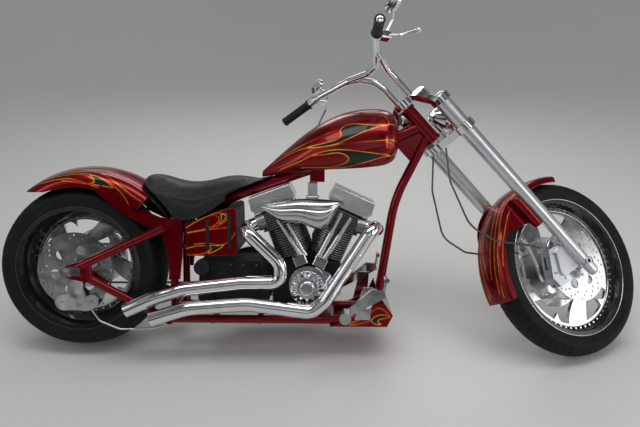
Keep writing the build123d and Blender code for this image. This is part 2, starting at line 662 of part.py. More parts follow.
# The upper yoke arches over the neck, from leg to leg
arch_plane = Plane(origin=on_fork(0, 4, 0), x_dir=(0, 1, 0), z_dir=(cos(rake), 0, sin(rake)))
arch = outline(
    arch_plane, (-LEG_Y - 24, LEG_TOP - 36), (-LEG_Y - 24, LEG_TOP - 14), ((-LEG_Y + 20, YOKE_LOW + 4), (-52, YOKE_HIGH)),
    (52, YOKE_HIGH), ((LEG_Y - 20, YOKE_LOW + 4), (LEG_Y + 24, LEG_TOP - 14)), (LEG_Y + 24, LEG_TOP - 36), (60, YOKE_LOW),
    (-60, YOKE_LOW),
)
upper_yoke = extrude(arch, 62) + extrude(across(YOKE_LOW) * Circle(36), YOKE_HIGH - YOKE_LOW)
upper_yoke += sockets(LEG_TOP - 38, LEG_TOP - 12, LEG_R + 9)
upper_yoke -= leg_holes(LEG_TOP - 40, LEG_TOP + 60)
stem = rod(on_fork(CLAMP_HIGH - 1, 0, 0), on_fork(YOKE_LOW + 1, 0, 0), 14)
for s0 in (NECK_LOW, NECK_HIGH - BEARING_DEPTH):
    stem += rod(on_fork(s0, 0, 0), on_fork(s0 + BEARING_DEPTH, 0, 0), NECK_BORE_R - SEATED)
frame_tubes -= rod(on_fork(NECK_LOW - 5, 0, 0), on_fork(NECK_HIGH + 5, 0, 0), NECK_BORE_R)
fork_clamps = lower_yoke + upper_yoke + stem

# Handlebar
BAR_POINTS = (
    # up the steering axis, ahead of it, to the side
    (1103, 4, 30), (1136, -27, 115), (1170, -92, 235), (1196, -188, 412),
)
bar_path = [on_fork(s, m, -y) for s, m, y in BAR_POINTS[::-1]] + [on_fork(s, m, y) for s, m, y in BAR_POINTS]
handlebar = tube(bar_path, [80, 60, 40, 40, 60, 80], BAR_R)
RISER_POINTS = (
    (YOKE_HIGH, 21, RISER_Y), (1015, 21, RISER_Y), (1062, 14, 52), (1111, -6, 90), (1142, -38, 135),
)
riser_path = [on_fork(s, m, -y) for s, m, y in RISER_POINTS]
handlebar += both(tube(riser_path, [60, 60, 60], RISER_R))
KNEE = Vector(*bar_path[1])
GRIP_OUT = Vector(*bar_path[0])
grip_dir = (GRIP_OUT - KNEE).normalized()
GRIP_IN = KNEE + grip_dir * 62
grip = rod(tuple(GRIP_IN), tuple(GRIP_OUT + grip_dir * 3), GRIP_R)
grip -= rod(tuple(GRIP_IN - grip_dir * 5), tuple(GRIP_OUT), BAR_R)
grips = both(grip)
perch = rod(tuple(GRIP_IN - grip_dir * 34), tuple(GRIP_IN - grip_dir * 6), 19)
perch += Pos(*on_fork(1160, -84, -262)) * fillet(Box(56, 34, 30).edges(), 6)
LEVER_TIP = on_fork(1088, -88, -408)
lever = tube([on_fork(1152, -76, -266), on_fork(1118, -62, -304), LEVER_TIP], [20], 5.5)
perch += lever + Pos(*LEVER_TIP) * Sphere(9)
hand_controls = both(perch) - handlebar
mirror_stem = tube([on_fork(1160, -70, -266), on_fork(1178, -24, -286), on_fork(1207, -14, -318)], [20], 5)
mirror_head = extrude(Ellipse(46, 29), 14, taper=12)
mirror_head = Pos(*on_fork(1219, -12, -322)) * (Rot(0, 90, 0) * (Rot(0, 0, 90) * mirror_head))
mirrors = both(mirror_stem + mirror_head) - hand_controls

# Headlight
LAMP_R = 52.0
lamp_mid = Vector(*on_fork(785, 95, 0))
headlight = Pos(*lamp_mid) * (Rot(0, 90, 0) * extrude(Circle(LAMP_R), 55))
headlight += Pos(*lamp_mid) * (Rot(0, -90, 0) * loft([Circle(LAMP_R), Pos(0, 0, 36) * Circle(24)]))
headlight += rod(on_fork(CLAMP_HIGH + SEATED, 58, 0), on_fork(775, 58, 0), 11)

# Front fender and brakes
front_edge = FRONT_FENDER_R - 34
front_side = FRONT_FENDER_R - 19
front_turn = FRONT_FENDER_R - 4
front_section = outline(
    Plane.YZ,
    (-74, front_edge),
    (-74, front_side),
    ((-66, front_turn - 5), (-46, front_turn)),
    ((0, FRONT_FENDER_R), (46, front_turn)),
    ((66, front_turn - 5), (74, front_side)),
    (74, front_edge),
    (71, front_edge),
    (71, front_side - 1),
    ((64, front_turn - 7.5), (45, front_turn - 3)),
    ((0, FRONT_FENDER_R - 3), (-45, front_turn - 3)),
    ((-64, front_turn - 7.5), (-71, front_side - 1)),
    (-71, front_edge),
)
front_fender = revolve(Rot(0, -112, 0) * front_section, Axis.Y, 107)
lobe = slab(
    -90, 90, (front_edge - 20, -70), ((front_edge + 2, -16), (FRONT_FENDER_R + 6, 4)), (FRONT_FENDER_R + 6, 40),
    (front_edge - 20, 40),
)
front_fender = AT_FRONT * (front_fender - Rot(0, 158, 0) * lobe)
def fender_side(y_right, y_left):
    """Where a pod may lie, clear of the tyre."""
    return AT_FRONT * slab(y_right, y_left, (-500, -100), (-500, 500), (100, 500), (100, -100))


POD_Y = 86.0
POD_M = FORK_OFFSET - 18
pod = extrude(across(226) * Pos(POD_M, POD_Y) * Circle(25), 146)
pod = fillet(pod.edges(), 12) & fender_side(67, 120)
web = outline(
    Plane.XZ.offset(-74), xz(372, POD_M), (xz(348, -90), xz(290, -144)), (xz(286, -50), xz(232, POD_M)),
)
pod += extrude(web, 3)
pods = both(pod)
front_fender += pods
lug = AT_FRONT * slab(96 + SEATED, 104, (-112, -40), (-96, -52), (-8, -10), (8, 30), (-100, 66), (-120, 40))
fork_legs += both(lug)
fork_legs -= rod((FRONT_X, -200, FRONT_Z), (FRONT_X, 200, FRONT_Z), FRONT_AXLE_BORE_R)
front_fender -= fork_legs

front_calipers = None
for side in (-1, 1):
    body = slab(50, 96, (-150, -60), (-118, -92), (-70, -70), (-62, 40), (-90, 76), (-150, 50))
    body -= disc_y(0, 0, ROTOR_R + 6, FRONT_ROTOR_Y - 8, FRONT_ROTOR_Y + 8)
    body = AT_FRONT * body
    body = body if side > 0 else mirror(body, about=Plane.XZ)
    front_calipers = body if front_calipers is None else front_calipers + body
hose_path = [
    on_fork(CLAMP_LOW - 3, -22, 44), on_fork(600, -128, 60), on_fork(440, -222, 88), on_fork(330, -186, 95), on_fork(200, -70, 95),
    on_fork(168, -44, 93),
]
front_hoses = both(tube(hose_path, [60, 80, 60, 20], 3.5))

# Side stand, built leaned over with the floor at z = 0, folding back along the rail
RAIL_LEANED_Y = RAIL_Y * cos(lean) + RAIL_Z * sin(lean)
RAIL_LEANED_Z = REAR_HEIGHT - RAIL_Y * sin(lean) + RAIL_Z * cos(lean)
STAND_PIVOT = Vector(900, RAIL_LEANED_Y + 40.3, RAIL_LEANED_Z - 17.5)
STAND_FOOT = Vector(STAND_PIVOT.X + 84, STAND_PIVOT.Y + 244, 9)
STAND_STOWED = Vector(-1, 0.12 * cos(lean), -0.12 * sin(lean))
stand_axis = (STAND_FOOT - STAND_PIVOT).cross(STAND_STOWED).normalized()
side_stand = rod(tuple(STAND_PIVOT - stand_axis * 11.5), tuple(STAND_PIVOT + stand_axis * 11.5), 15)
side_stand += rod(tuple(STAND_PIVOT), tuple(STAND_FOOT), 11)
side_stand += Pos(STAND_FOOT.X, STAND_FOOT.Y, 0) * extrude(RectangleRounded(84, 46, 12), 9)
side_stand -= Pos(STAND_FOOT.X, STAND_FOOT.Y, -50) * Box(300, 300, 100)
side_stand -= rod(tuple(STAND_PIVOT - stand_axis * 30), tuple(STAND_PIVOT + stand_axis * 30), STAND_PIN_R + 0.5)
stand_lug = rod(tuple(STAND_PIVOT - stand_axis * 16), tuple(STAND_PIVOT + stand_axis * 13), STAND_PIN_R)
stand_lug += rod(tuple(STAND_PIVOT - stand_axis * 16), tuple(STAND_PIVOT - stand_axis * 12.1), 11)
lug_plane = Plane(origin=STAND_PIVOT + stand_axis * 12.1, x_dir=(1, 0, 0), z_dir=stand_axis)
stand_lug += extrude(lug_plane * Circle(14), 5)
stand_lug += extrude(lug_plane * Pos(0, -20) * Rectangle(26, 40), 5)

# Setting down
UPRIGHT = {
    "frame_tubes": frame_tubes, "swingarm": swingarm, "rear_fender": rear_fender, "seat": seat,
    "fuel_tank": fuel_tank, "oil_tank": oil_tank, "crankcase": crankcase, "cylinders": cylinders,
    "rocker_boxes": rocker_boxes, "pushrods": pushrods, "cam_cover": cam_cover, "air_cleaner": air_cleaner,
    "carburettor": carburettor, "primary_cover": primary_cover, "gearbox": gearbox,
    "exhaust_rear": exhaust_rear, "exhaust_front": exhaust_front, "rear_axle": rear_axle,
    "rear_caliper": rear_caliper, "rear_brake_line": rear_brake_line, "drive_belt": drive_belt,
    "control_right": control_right, "control_left": control_left, "tail_lamp": tail_lamp,
    "chin_spoiler": chin_spoiler,
    "rear_tyre": rear_tyre, "rear_rim": rear_rim, "rear_wheel_centre": rear_wheel_centre,
    "rear_rotor": rear_rotor, "rear_pulley": rear_pulley,
}
STEERED = {
    "fork_legs": fork_legs, "fork_clamps": fork_clamps, "handlebar": handlebar, "grips": grips,
    "hand_controls": hand_controls, "mirrors": mirrors, "headlight": headlight, "front_fender": front_fender,
    "front_calipers": front_calipers, "front_hoses": front_hoses,
    "front_tyre": front_tyre, "front_rim": front_rim, "front_wheel_centre": front_wheel_centre,
    "front_rotors": front_rotors,
}
placed = {}
for name, shape in UPRIGHT.items():
    placed[name] = Pos(0, 0, REAR_HEIGHT) * shape.rotate(Axis.X, -LEAN)
for name, shape in STEERED.items():
    turned_shape = shape.rotate(STEER_AXIS, STEER_STOP)
    placed[name] = Pos(0, 0, REAR_HEIGHT) * turned_shape.rotate(Axis.X, -LEAN)
placed["frame_tubes"] += stand_lug
placed["side_stand"] = side_stand
box_min = [1e9, 1e9, 1e9]
box_max = [-1e9, -1e9, -1e9]
for shape in placed.values():
    bb = shape.bounding_box()
    for k, (low, high) in enumerate(((bb.min.X, bb.max.X), (bb.min.Y, bb.max.Y), (bb.min.Z, bb.max.Z))):
        box_min[k] = min(box_min[k], low)
        box_max[k] = max(box_max[k], high)
SHIFT = (-(box_min[0] + box_max[0]) / 2, -(box_min[1] + box_max[1]) / 2, -box_min[2])
placed = {name: Pos(*SHIFT) * shape for name, shape in placed.items()}

os.makedirs("parts", exist_ok=True)
for name, shape in placed.items():
    export_step(shape, "parts/" + name + ".step")
print("stance", LEAN, RAKE, STEER_STOP, AXIS_X, AXIS_Z, REAR_HEIGHT, FRONT_X, FRONT_Z)
print("stand", tuple(STAND_PIVOT), tuple(STAND_FOOT), tuple(stand_axis))
print("size", [round(b - a, 1) for a, b in zip(box_min, box_max)], "shift", [round(v, 2) for v in SHIFT])
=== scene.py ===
# %% [markdown] A long cruiser motorcycle, dressed for its portrait. Everything below either
# gives one of them a finish or adds a piece that rides on one of them. All lengths are
# metres.

# %% Load the frame
import json
import math

import bmesh
import bpy
import numpy as np
from mathutils import Matrix, Vector


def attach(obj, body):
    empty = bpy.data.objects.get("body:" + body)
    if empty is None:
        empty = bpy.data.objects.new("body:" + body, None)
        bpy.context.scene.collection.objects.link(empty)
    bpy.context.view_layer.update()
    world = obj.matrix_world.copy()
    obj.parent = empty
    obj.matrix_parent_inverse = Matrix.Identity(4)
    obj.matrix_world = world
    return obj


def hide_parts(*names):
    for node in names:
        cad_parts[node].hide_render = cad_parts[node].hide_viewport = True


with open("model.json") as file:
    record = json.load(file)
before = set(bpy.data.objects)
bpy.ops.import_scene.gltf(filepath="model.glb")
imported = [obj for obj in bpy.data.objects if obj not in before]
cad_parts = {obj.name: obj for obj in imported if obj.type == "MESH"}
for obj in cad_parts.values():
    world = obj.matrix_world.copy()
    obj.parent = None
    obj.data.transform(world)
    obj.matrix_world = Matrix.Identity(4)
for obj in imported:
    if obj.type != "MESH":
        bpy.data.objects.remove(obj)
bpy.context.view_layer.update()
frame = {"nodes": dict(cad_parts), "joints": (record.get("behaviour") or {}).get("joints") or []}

NODES = frame["nodes"]
MM = 0.001


def put(name, data):
    """A new object in the scene."""
    made = bpy.data.objects.new(name, data)
    bpy.context.scene.collection.objects.link(made)
    return made


# %% [markdown]
# The motorcycle leans on its side stand with the bars turned to the left. It is far easier to
# draw each piece on an upright machine, in millimetres from the rear axle: x forward, y left,
# z up. The joints say where that axle is and how the machine leans, so two matrices carry
# everything from the drawing to the real place: one for the leaning machine, one for what steers.

# %% Drawing space to real place
JOINTS = {joint["name"]: joint for joint in frame["joints"]}


def joint_line(name):
    """Point and direction of a joint's axis."""
    joint = JOINTS[name]
    return Vector(joint["pos_m"]), Vector(joint["axis"]).normalized()


REAR_AXLE, ACROSS = joint_line("rear_wheel_spin")
STEER_POINT, STEER_AXIS = joint_line("steering")
FRONT_AXLE, FRONT_ACROSS = joint_line("front_wheel_spin")
FORWARD = Vector((1, 0, 0))
UPWARD = FORWARD.cross(ACROSS)
BIKE = Matrix((FORWARD, ACROSS, UPWARD)).transposed().to_4x4()
BIKE = Matrix.Translation(REAR_AXLE) @ BIKE
flat_a = (ACROSS - STEER_AXIS * ACROSS.dot(STEER_AXIS)).normalized()
flat_b = (FRONT_ACROSS - STEER_AXIS * FRONT_ACROSS.dot(STEER_AXIS)).normalized()
STEERED_BY = math.atan2(flat_a.cross(flat_b).dot(STEER_AXIS), flat_a.dot(flat_b))
TURN = Matrix.Rotation(STEERED_BY, 4, STEER_AXIS)
TURN = Matrix.Translation(STEER_POINT) @ TURN @ Matrix.Translation(-STEER_POINT)
FORK = TURN @ BIKE
FRONT_HUB = FORK.inverted() @ FRONT_AXLE
AXIS_UP = (BIKE.inverted().to_3x3() @ STEER_AXIS).normalized()
RAKE = math.atan2(-AXIS_UP.x, AXIS_UP.z)
LEAN = math.asin(-ACROSS.z)
print("lean", round(math.degrees(LEAN), 2), "steer", round(math.degrees(STEERED_BY), 2),
      "rake", round(math.degrees(RAKE), 2), "front hub", [round(v, 4) for v in FRONT_HUB])

# %% [markdown]
# The camera stands a little in front of the machine's right side at eye height and looks down
# by about 23 degrees. Its lens was worked out from the two wheels, so it is kept as a real
# focal length on a 36 mm wide sensor.

# %% Camera
CAMERA_AT = (REAR_AXLE.x + 0.97212, REAR_AXLE.y - 2.40009, 1.54215)
LOOK_DOWN = math.radians(22.66)
LOOK_LEFT = math.radians(0.89)
SENSOR_MM = 36.0
LENS_MM = 37.65

camera = put("camera", bpy.data.cameras.new("camera"))
camera.location = CAMERA_AT
camera.rotation_euler = (math.radians(90) - LOOK_DOWN, 0, LOOK_LEFT)
camera.data.sensor_width = SENSOR_MM
camera.data.lens = LENS_MM
bpy.context.scene.camera = camera

# %% [markdown]
# A finish is a little graph of shader nodes. Drawing graphs in Python is long-winded, so a
# small class lets a socket be added, multiplied or compared as if it were a number. Every
# other node comes from one method that takes its type, its settings and what feeds it.

# %% Wires and finishes
class Wire:
    """An output socket that can stand in a sum."""

    def __init__(self, finish, socket):
        self.finish = finish
        self.socket = socket

    def math(self, operation, *others):
        return self.finish.node("ShaderNodeMath", {"operation": operation}, self, *others)

    def __add__(self, other):
        return self.math("ADD", other)

    def __sub__(self, other):
        return self.math("SUBTRACT", other)

    def __rsub__(self, other):
        return (self * -1.0) + other

    def __mul__(self, other):
        return self.math("MULTIPLY", other)

    __radd__ = __add__
    __rmul__ = __mul__

    def size(self):
        return self.math("ABSOLUTE")

    def least(self, other):
        return self.math("MINIMUM", other)

    def most(self, other):
        return self.math("MAXIMUM", other)

    def step(self, low, high):
        """0 below low, 1 above high, smooth between."""
        settings = {"interpolation_type": "SMOOTHSTEP"}
        return self.finish.node("ShaderNodeMapRange", settings, self, low, high, 0.0, 1.0)

    def part(self, name):
        """X, Y or Z of a vector."""
        return self.finish.node("ShaderNodeSeparateXYZ", {}, self, out=name)


class Finish:
    """A named material built from nodes."""

    def __init__(self, name, color=(0.5, 0.5, 0.5), **constants):
        self.material = bpy.data.materials.new(name)
        self.material.use_nodes = True
        self.tree = self.material.node_tree
        self.tree.nodes.clear()
        self.shader = self.tree.nodes.new("ShaderNodeBsdfPrincipled")
        output = self.tree.nodes.new("ShaderNodeOutputMaterial")
        self.tree.links.new(self.shader.outputs[0], output.inputs[0])
        self.material.diffuse_color = (*color, 1)
        self.set(Base_Color=color, **constants)

    def node(self, kind, settings, *values, out=0, **named):
        """Adds a node, sets it up, feeds its inputs and gives one of its outputs."""
        made = self.tree.nodes.new(kind)
        for key, value in settings.items():
            setattr(made, key, value)
        for key, value in list(enumerate(values)) + list(named.items()):
            self.feed(made.inputs[key], value)
        return Wire(self, made.outputs[out])

    def feed(self, socket, value):
        """Links a wire to a socket, or sets the socket to a number or a colour."""
        if isinstance(value, Wire):
            self.tree.links.new(value.socket, socket)
        else:
            if hasattr(value, "__len__") and len(value) == 3 and len(socket.default_value) == 4:
                value = (*value, 1)
            socket.default_value = value

    def set(self, **sockets):
        """Feeds the shader's own sockets."""
        for key, value in sockets.items():
            self.feed(self.shader.inputs[key.replace("_", " ")], value)

    def place(self):
        """Object coordinates, in metres."""
        return self.node("ShaderNodeTexCoord", {}, out="Object")

    def noise(self, scale, detail=2.0, rough=0.5):
        return self.node("ShaderNodeTexNoise", {}, Vector=self.place(), Scale=scale, Detail=detail,
                         Roughness=rough)

    def mix(self, factor, first, second):
        """Blends two colours."""
        made = self.tree.nodes.new("ShaderNodeMix")
        made.data_type = "RGBA"
        for place, value in ((0, factor), (6, first), (7, second)):
            self.feed(made.inputs[place], value)
        return Wire(self, made.outputs[2])

    def read(self, name):
        """A number stored on the mesh."""
        return self.node("ShaderNodeAttribute", {"attribute_name": name}, out="Fac")

    def bump(self, height, depth):
        """Feeds the normal with a height given in metres."""
        self.set(Normal=self.node("ShaderNodeBump", {}, Height=height, Distance=depth,
                                  Strength=1.0))


def wear(finish, thing):
    """Gives an object this one finish."""
    thing.data.materials.clear()
    thing.data.materials.append(finish.material)


# %% [markdown]
# Paint first. Candy paint is a red metallic ground under a thin clear coat, and fine flake
# speckles its colour. Flames are pinstripes: each painted panel below stores, at every corner
# of its mesh, how far that corner is from the nearest stripe and from the nearest dark lick,
# and the finish turns distance into colour.

# %% Candy paint
CANDY = (0.42, 0.0015, 0.011)
CANDY_DEEP = (0.13, 0.0006, 0.003)
STRIPE_HALF = 0.0014
GOLD = (0.80, 0.34, 0.035)
FLAME_ORANGE = (0.80, 0.11, 0.010)
POCKET = (0.010, 0.020, 0.012)
FLAKE_SCALE = 1400.0
FLAKE_METAL = 0.8
EDGE_HALF = 0.0004


def candy(name, color, deep, flames):
    """Candy paint, with or without the flames that a panel stores."""
    finish = Finish(name, color, Metallic=FLAKE_METAL, Coat_Weight=0.6, Coat_Roughness=0.03,
                    Coat_IOR=1.42, Specular_IOR_Level=0.1)
    flake = finish.noise(FLAKE_SCALE, detail=1.0).step(0.42, 0.66)
    cloud = finish.noise(5.0, detail=2.0).step(0.30, 0.75)
    paint = finish.mix(flake * 0.35 + cloud * 0.25, deep, color)
    rough = finish.noise(90.0, detail=3.0) * 0.06 + 0.26
    if flames:
        pocket = finish.read("pocket")
        near = finish.read("stripe").least(pocket.size())
        glow = (1.0 - near.step(0.0, 0.010)) * 0.15
        dark = pocket.step(-0.0006, 0.0006)
        ground = finish.mix(dark, finish.mix(glow, paint, FLAME_ORANGE), POCKET)
        tint = finish.mix(finish.noise(14.0).step(0.4, 0.62), GOLD, FLAME_ORANGE)
        line = 1.0 - near.step(STRIPE_HALF - EDGE_HALF, STRIPE_HALF + EDGE_HALF)
        paint = finish.mix(line, ground, tint)
        finish.set(Metallic=FLAKE_METAL - dark * 0.6 - line * 0.45)
    finish.set(Base_Color=paint, Roughness=rough)
    return finish


paint_flames = candy("candy_flames", CANDY, CANDY_DEEP, flames=True)
paint_plain = candy("candy_plain", CANDY, CANDY_DEEP, flames=False)
paint_frame = candy("candy_frame", (0.36, 0.001, 0.012), (0.14, 0.0005, 0.005), flames=False)

# %% [markdown]
# Bright metal next. Chrome is nearly a mirror, and slow waves bend what it reflects. Polished,
# brushed and satin alloy are duller in turn, so that the metals can be told apart. The
# roughness of each drifts a little, as if it had been rubbed unevenly.

# %% Metals
def metal(name, color, rough, spread, scale, waves=0.0):
    """Metal whose roughness drifts over patches of 1/scale, and may have slow waves."""
    finish = Finish(name, color, Metallic=1.0)
    patches = finish.noise(scale, detail=4.0, rough=0.6)
    tint = finish.mix(patches.step(0.35, 0.7), tuple(0.93 * c for c in color), color)
    finish.set(Base_Color=tint, Roughness=patches * spread + (rough - spread * 0.5))
    if waves > 0:
        finish.bump(finish.noise(16.0, detail=1.0), waves)
    return finish


chrome = metal("chrome", (0.80, 0.80, 0.82), 0.07, 0.05, 9.0, waves=0.0012)
polished = metal("polished_alloy", (0.78, 0.78, 0.79), 0.13, 0.08, 14.0, waves=0.0008)
winged = metal("air_cleaner_alloy", (0.56, 0.58, 0.58), 0.20, 0.10, 10.0, waves=0.0015)
brushed = metal("brushed_alloy", (0.80, 0.81, 0.82), 0.28, 0.14, 8.0)
satin_alloy = metal("satin_alloy", (0.68, 0.70, 0.72), 0.34, 0.10, 12.0)
brake_steel = metal("brake_steel", (0.74, 0.74, 0.74), 0.20, 0.08, 30.0, waves=0.0005)
dark_steel = metal("dark_steel", (0.10, 0.10, 0.105), 0.45, 0.2, 40.0)
dark_steel.bump(dark_steel.noise(900.0), 0.00006)

# %% [markdown]
# Black parts differ mostly in how they shine: painted rims, bare castings, tyres and grips.

# %% Black parts
def dull(name, color, rough, bump_scale=0.0, bump_depth=0.0, coat=0.0, spread=0.12, shine=0.2):
    """Paint, rubber or plastic with a fine skin."""
    finish = Finish(name, color, Coat_Weight=coat, Coat_Roughness=0.05, Specular_IOR_Level=shine)
    patches = finish.noise(12.0, detail=4.0, rough=0.65)
    lighter = tuple(1.35 * c + 0.004 for c in color)
    finish.set(Base_Color=finish.mix(patches.step(0.3, 0.8), color, lighter),
               Roughness=patches * spread + (rough - spread * 0.5))
    if bump_depth > 0:
        finish.bump(finish.noise(bump_scale), bump_depth)
    return finish


gloss_black = dull("gloss_black", (0.010, 0.010, 0.011), 0.16, coat=0.8)
engine_black = dull("engine_black", (0.018, 0.018, 0.019), 0.48, 900.0, 0.00008, shine=0.03)
tyre_rubber = dull("tyre_rubber", (0.008, 0.008, 0.0085), 0.58, 1100.0, 0.00010, spread=0.2,
                   shine=0.12)
soft_rubber = dull("soft_rubber", (0.020, 0.020, 0.021), 0.55, 700.0, 0.00006)

# %% [markdown]
# The cylinders are black with a machined edge on every fin. The finish finds the edge by
# measuring how far a point is from its cylinder's line, in a frame turned with each bank.

# %% Cylinder fins
CRANK = (0.890, 0, -0.085)
BANKS = (-20.5, 24.5)
BARREL_EDGE = 0.0756
BARREL_FLAT = 0.077
HEAD_EDGE = 0.0736
HEAD_FROM = 0.267
fin_black = Finish("fin_black", (0.018, 0.018, 0.019))
edge = None
for bank in BANKS:
    turned_in = BIKE @ Matrix.Translation(CRANK) @ Matrix.Rotation(math.radians(bank), 4, "Y")
    local = fin_black.node("ShaderNodeMapping", {"vector_type": "TEXTURE"}, fin_black.place(),
                           tuple(turned_in.translation), tuple(turned_in.to_euler()))
    x, y, z = local.part("X"), local.part("Y"), local.part("Z")
    barrel = (x * x + y * y).math("SQRT").step(BARREL_EDGE - EDGE_HALF, BARREL_EDGE)
    barrel = barrel * (1.0 - z.step(HEAD_FROM - 0.001, HEAD_FROM + 0.001))
    barrel = barrel * (1.0 - x.size().step(BARREL_FLAT - 0.001, BARREL_FLAT + 0.001))
    head = y.size().step(HEAD_EDGE - EDGE_HALF, HEAD_EDGE) * z.step(HEAD_FROM, HEAD_FROM + 0.001)
    found = barrel.most(head)
    edge = found if edge is None else edge.most(found)
edge = edge * fin_black.noise(260.0).step(0.30, 0.52)
patches = fin_black.noise(20.0, detail=4.0)
casting = fin_black.mix(patches, (0.010, 0.010, 0.011), (0.026, 0.026, 0.028))
fin_black.set(Base_Color=fin_black.mix(edge, casting, (0.34, 0.34, 0.35)),
              Metallic=edge, Roughness=0.5 - edge * 0.22 + patches * 0.1)

# %% [markdown]
# Every part now gets the finish of the thing it is. Parts that are remade further down get
# theirs there.

# %% Finishes of the built parts
WEARS = {
    paint_frame: "frame_tubes swingarm",
    paint_plain: "rear_fender fuel_tank chin_spoiler front_fender",
    chrome: "pushrods cam_cover primary_cover exhaust_rear exhaust_front rear_axle "
            "rear_caliper fork_clamps handlebar hand_controls mirrors headlight side_stand",
    winged: "air_cleaner rear_rotor",
    polished: "rear_wheel_centre front_wheel_centre rear_pulley control_right control_left",
    brushed: "rocker_boxes",
    satin_alloy: "fork_legs front_calipers carburettor",
    engine_black: "crankcase gearbox oil_tank",
    brake_steel: "front_rotors rear_brake_line",
    dark_steel: "front_hoses",
    gloss_black: "rear_rim front_rim",
    fin_black: "cylinders",
    tyre_rubber: "rear_tyre front_tyre",
    soft_rubber: "grips drive_belt seat tail_lamp",
}
for finish, names in WEARS.items():
    for name in names.split():
        wear(finish, NODES[name])

# %% [markdown]
# Every panel below is a grid whose corners are moved onto a shape worked out with numpy. The
# shapes are drawn in millimetres from the rear axle, and one matrix puts them in place. Where a
# grid closes on itself its seam is merged, so that it shades as one skin.

# %% Panels from grids
SIDES = ((-1, "right"), (1, "left"))
SEAM = 0.00002


def piece(name, bm, finish, body, *nodes):
    """Turns a bmesh into an object that rides on a body and may stand for CAD nodes."""
    data = bpy.data.meshes.new(name)
    bm.to_mesh(data)
    bm.free()
    data.shade_smooth()
    made = put(name, data)
    wear(finish, made)
    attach(made, body)
    if nodes:
        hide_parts(*nodes)
    return made


def panel(name, matrix, points, inside, finish, body, *nodes, wall=0.0, closed=False, **numbers):
    """A grid over points[rows, columns, 3], facing away from inside, with numbers at its corners.

    Points, inside and wall are drawn in millimetres. The wall goes inwards."""
    whole = np.array(matrix)
    placed = (points * MM) @ whole[:3, :3].T + whole[:3, 3]
    middle = matrix @ (Vector(inside) * MM)
    rows, columns = points.shape[:2]
    bm = bmesh.new()
    bmesh.ops.create_grid(bm, x_segments=rows - 1, y_segments=columns - 1, size=1.0)
    layers = {key: bm.verts.layers.float.new(key) for key in numbers}
    for vert in bm.verts:
        i = round((vert.co.x + 1) / 2 * (rows - 1))
        j = round((vert.co.y + 1) / 2 * (columns - 1))
        vert.co = placed[i, j]
        for key, layer in layers.items():
            vert[layer] = numbers[key][i, j]
    bmesh.ops.remove_doubles(bm, verts=bm.verts, dist=SEAM)
    away = sum(face.normal.dot(face.calc_center_median() - middle) for face in bm.faces)
    if away < 0:
        bmesh.ops.reverse_faces(bm, faces=bm.faces)
    if closed:
        bmesh.ops.holes_fill(bm, edges=[side for side in bm.edges if side.is_boundary], sides=0)
    made = piece(name, bm, finish, body, *nodes)
    if wall > 0:
        shell = made.modifiers.new("wall", "SOLIDIFY")
        shell.thickness = wall * MM
        shell.offset = -1.0
    print(name, "faces", len(made.data.polygons))


def arc(start, via, end, count):
    """Points on the circle through three points, from the first to the last."""
    (ax, ay), (bx, by), (cx, cy) = start, via, end
    a, b, c = ax**2 + ay**2, bx**2 + by**2, cx**2 + cy**2
    d = 2 * (ax * (by - cy) + bx * (cy - ay) + cx * (ay - by))
    ux = (a * (by - cy) + b * (cy - ay) + c * (ay - by)) / d
    uy = (a * (cx - bx) + b * (ax - cx) + c * (bx - ax)) / d
    t0, t1, t2 = (math.atan2(y - uy, x - ux) for x, y in (start, via, end))
    turn = (t2 - t0) % math.tau
    if (t1 - t0) % math.tau > turn:
        turn -= math.tau
    t = t0 + turn * np.linspace(0, 1, count)
    r = math.hypot(ax - ux, ay - uy)
    return np.stack([ux + r * np.cos(t), uy + r * np.sin(t)], axis=1)


def lengths(path):
    """Distance along a path at each of its points."""
    return np.concatenate([[0], np.cumsum(np.hypot(*np.diff(path, axis=0).T))])


def spread(path, count):
    """The same path with evenly spaced points."""
    along = lengths(path)
    want = np.linspace(0, along[-1], count)
    return np.stack([np.interp(want, along, path[:, k]) for k in (0, 1)], axis=1)


# %% [markdown]
# Flames are drawn on each panel as if it were unrolled: one number runs along the panel and
# one across it, both in millimetres, so that a stripe keeps its width over a curve. A lick is a
# closed teardrop and a stroke is an open line. Both are smooth curves through a few points.

# %% Flames on an unrolled panel
def curve_through(points, closed=False, steps=9):
    """Smooth curve through points, open or closed on itself."""
    p = np.array(points, float)
    if closed:
        p = np.vstack([p[-1:], p, p[:2]])
    else:
        p = np.vstack([2 * p[:1] - p[1:2], p, 2 * p[-1:] - p[-2:-1]])
    t = np.linspace(0, 1, steps, endpoint=False)[:, None]
    out = []
    for a, b, c, d in zip(p[:-3], p[1:-2], p[2:-1], p[3:]):
        square, cube = 2 * a - 5 * b + 4 * c - d, 3 * b - a - 3 * c + d
        out.append(0.5 * (2 * b + (c - a) * t + square * t**2 + cube * t**3))
    out.append(p[1:2] if closed else p[-2:-1])
    return np.vstack(out)


def gap_to(flat, line):
    """Distance from each flat point to a line of short runs."""
    best = np.full(len(flat), 1e9)
    for a, b in zip(line[:-1], line[1:]):
        run = b - a
        t = np.clip(((flat - a) @ run) / max(1e-9, run @ run), 0, 1)
        best = np.minimum(best, np.hypot(*(flat - a - t[:, None] * run).T))
    return best


def within(flat, loop):
    """True inside a closed loop."""
    odd = np.zeros(len(flat), bool)
    for (ax, ay), (bx, by) in zip(loop[:-1], loop[1:]):
        if ay != by:
            cross = (flat[:, 1] > ay) != (flat[:, 1] > by)
            at = (bx - ax) * (flat[:, 1] - ay) / (by - ay) + ax
            odd ^= cross & (flat[:, 0] < at)
    return odd


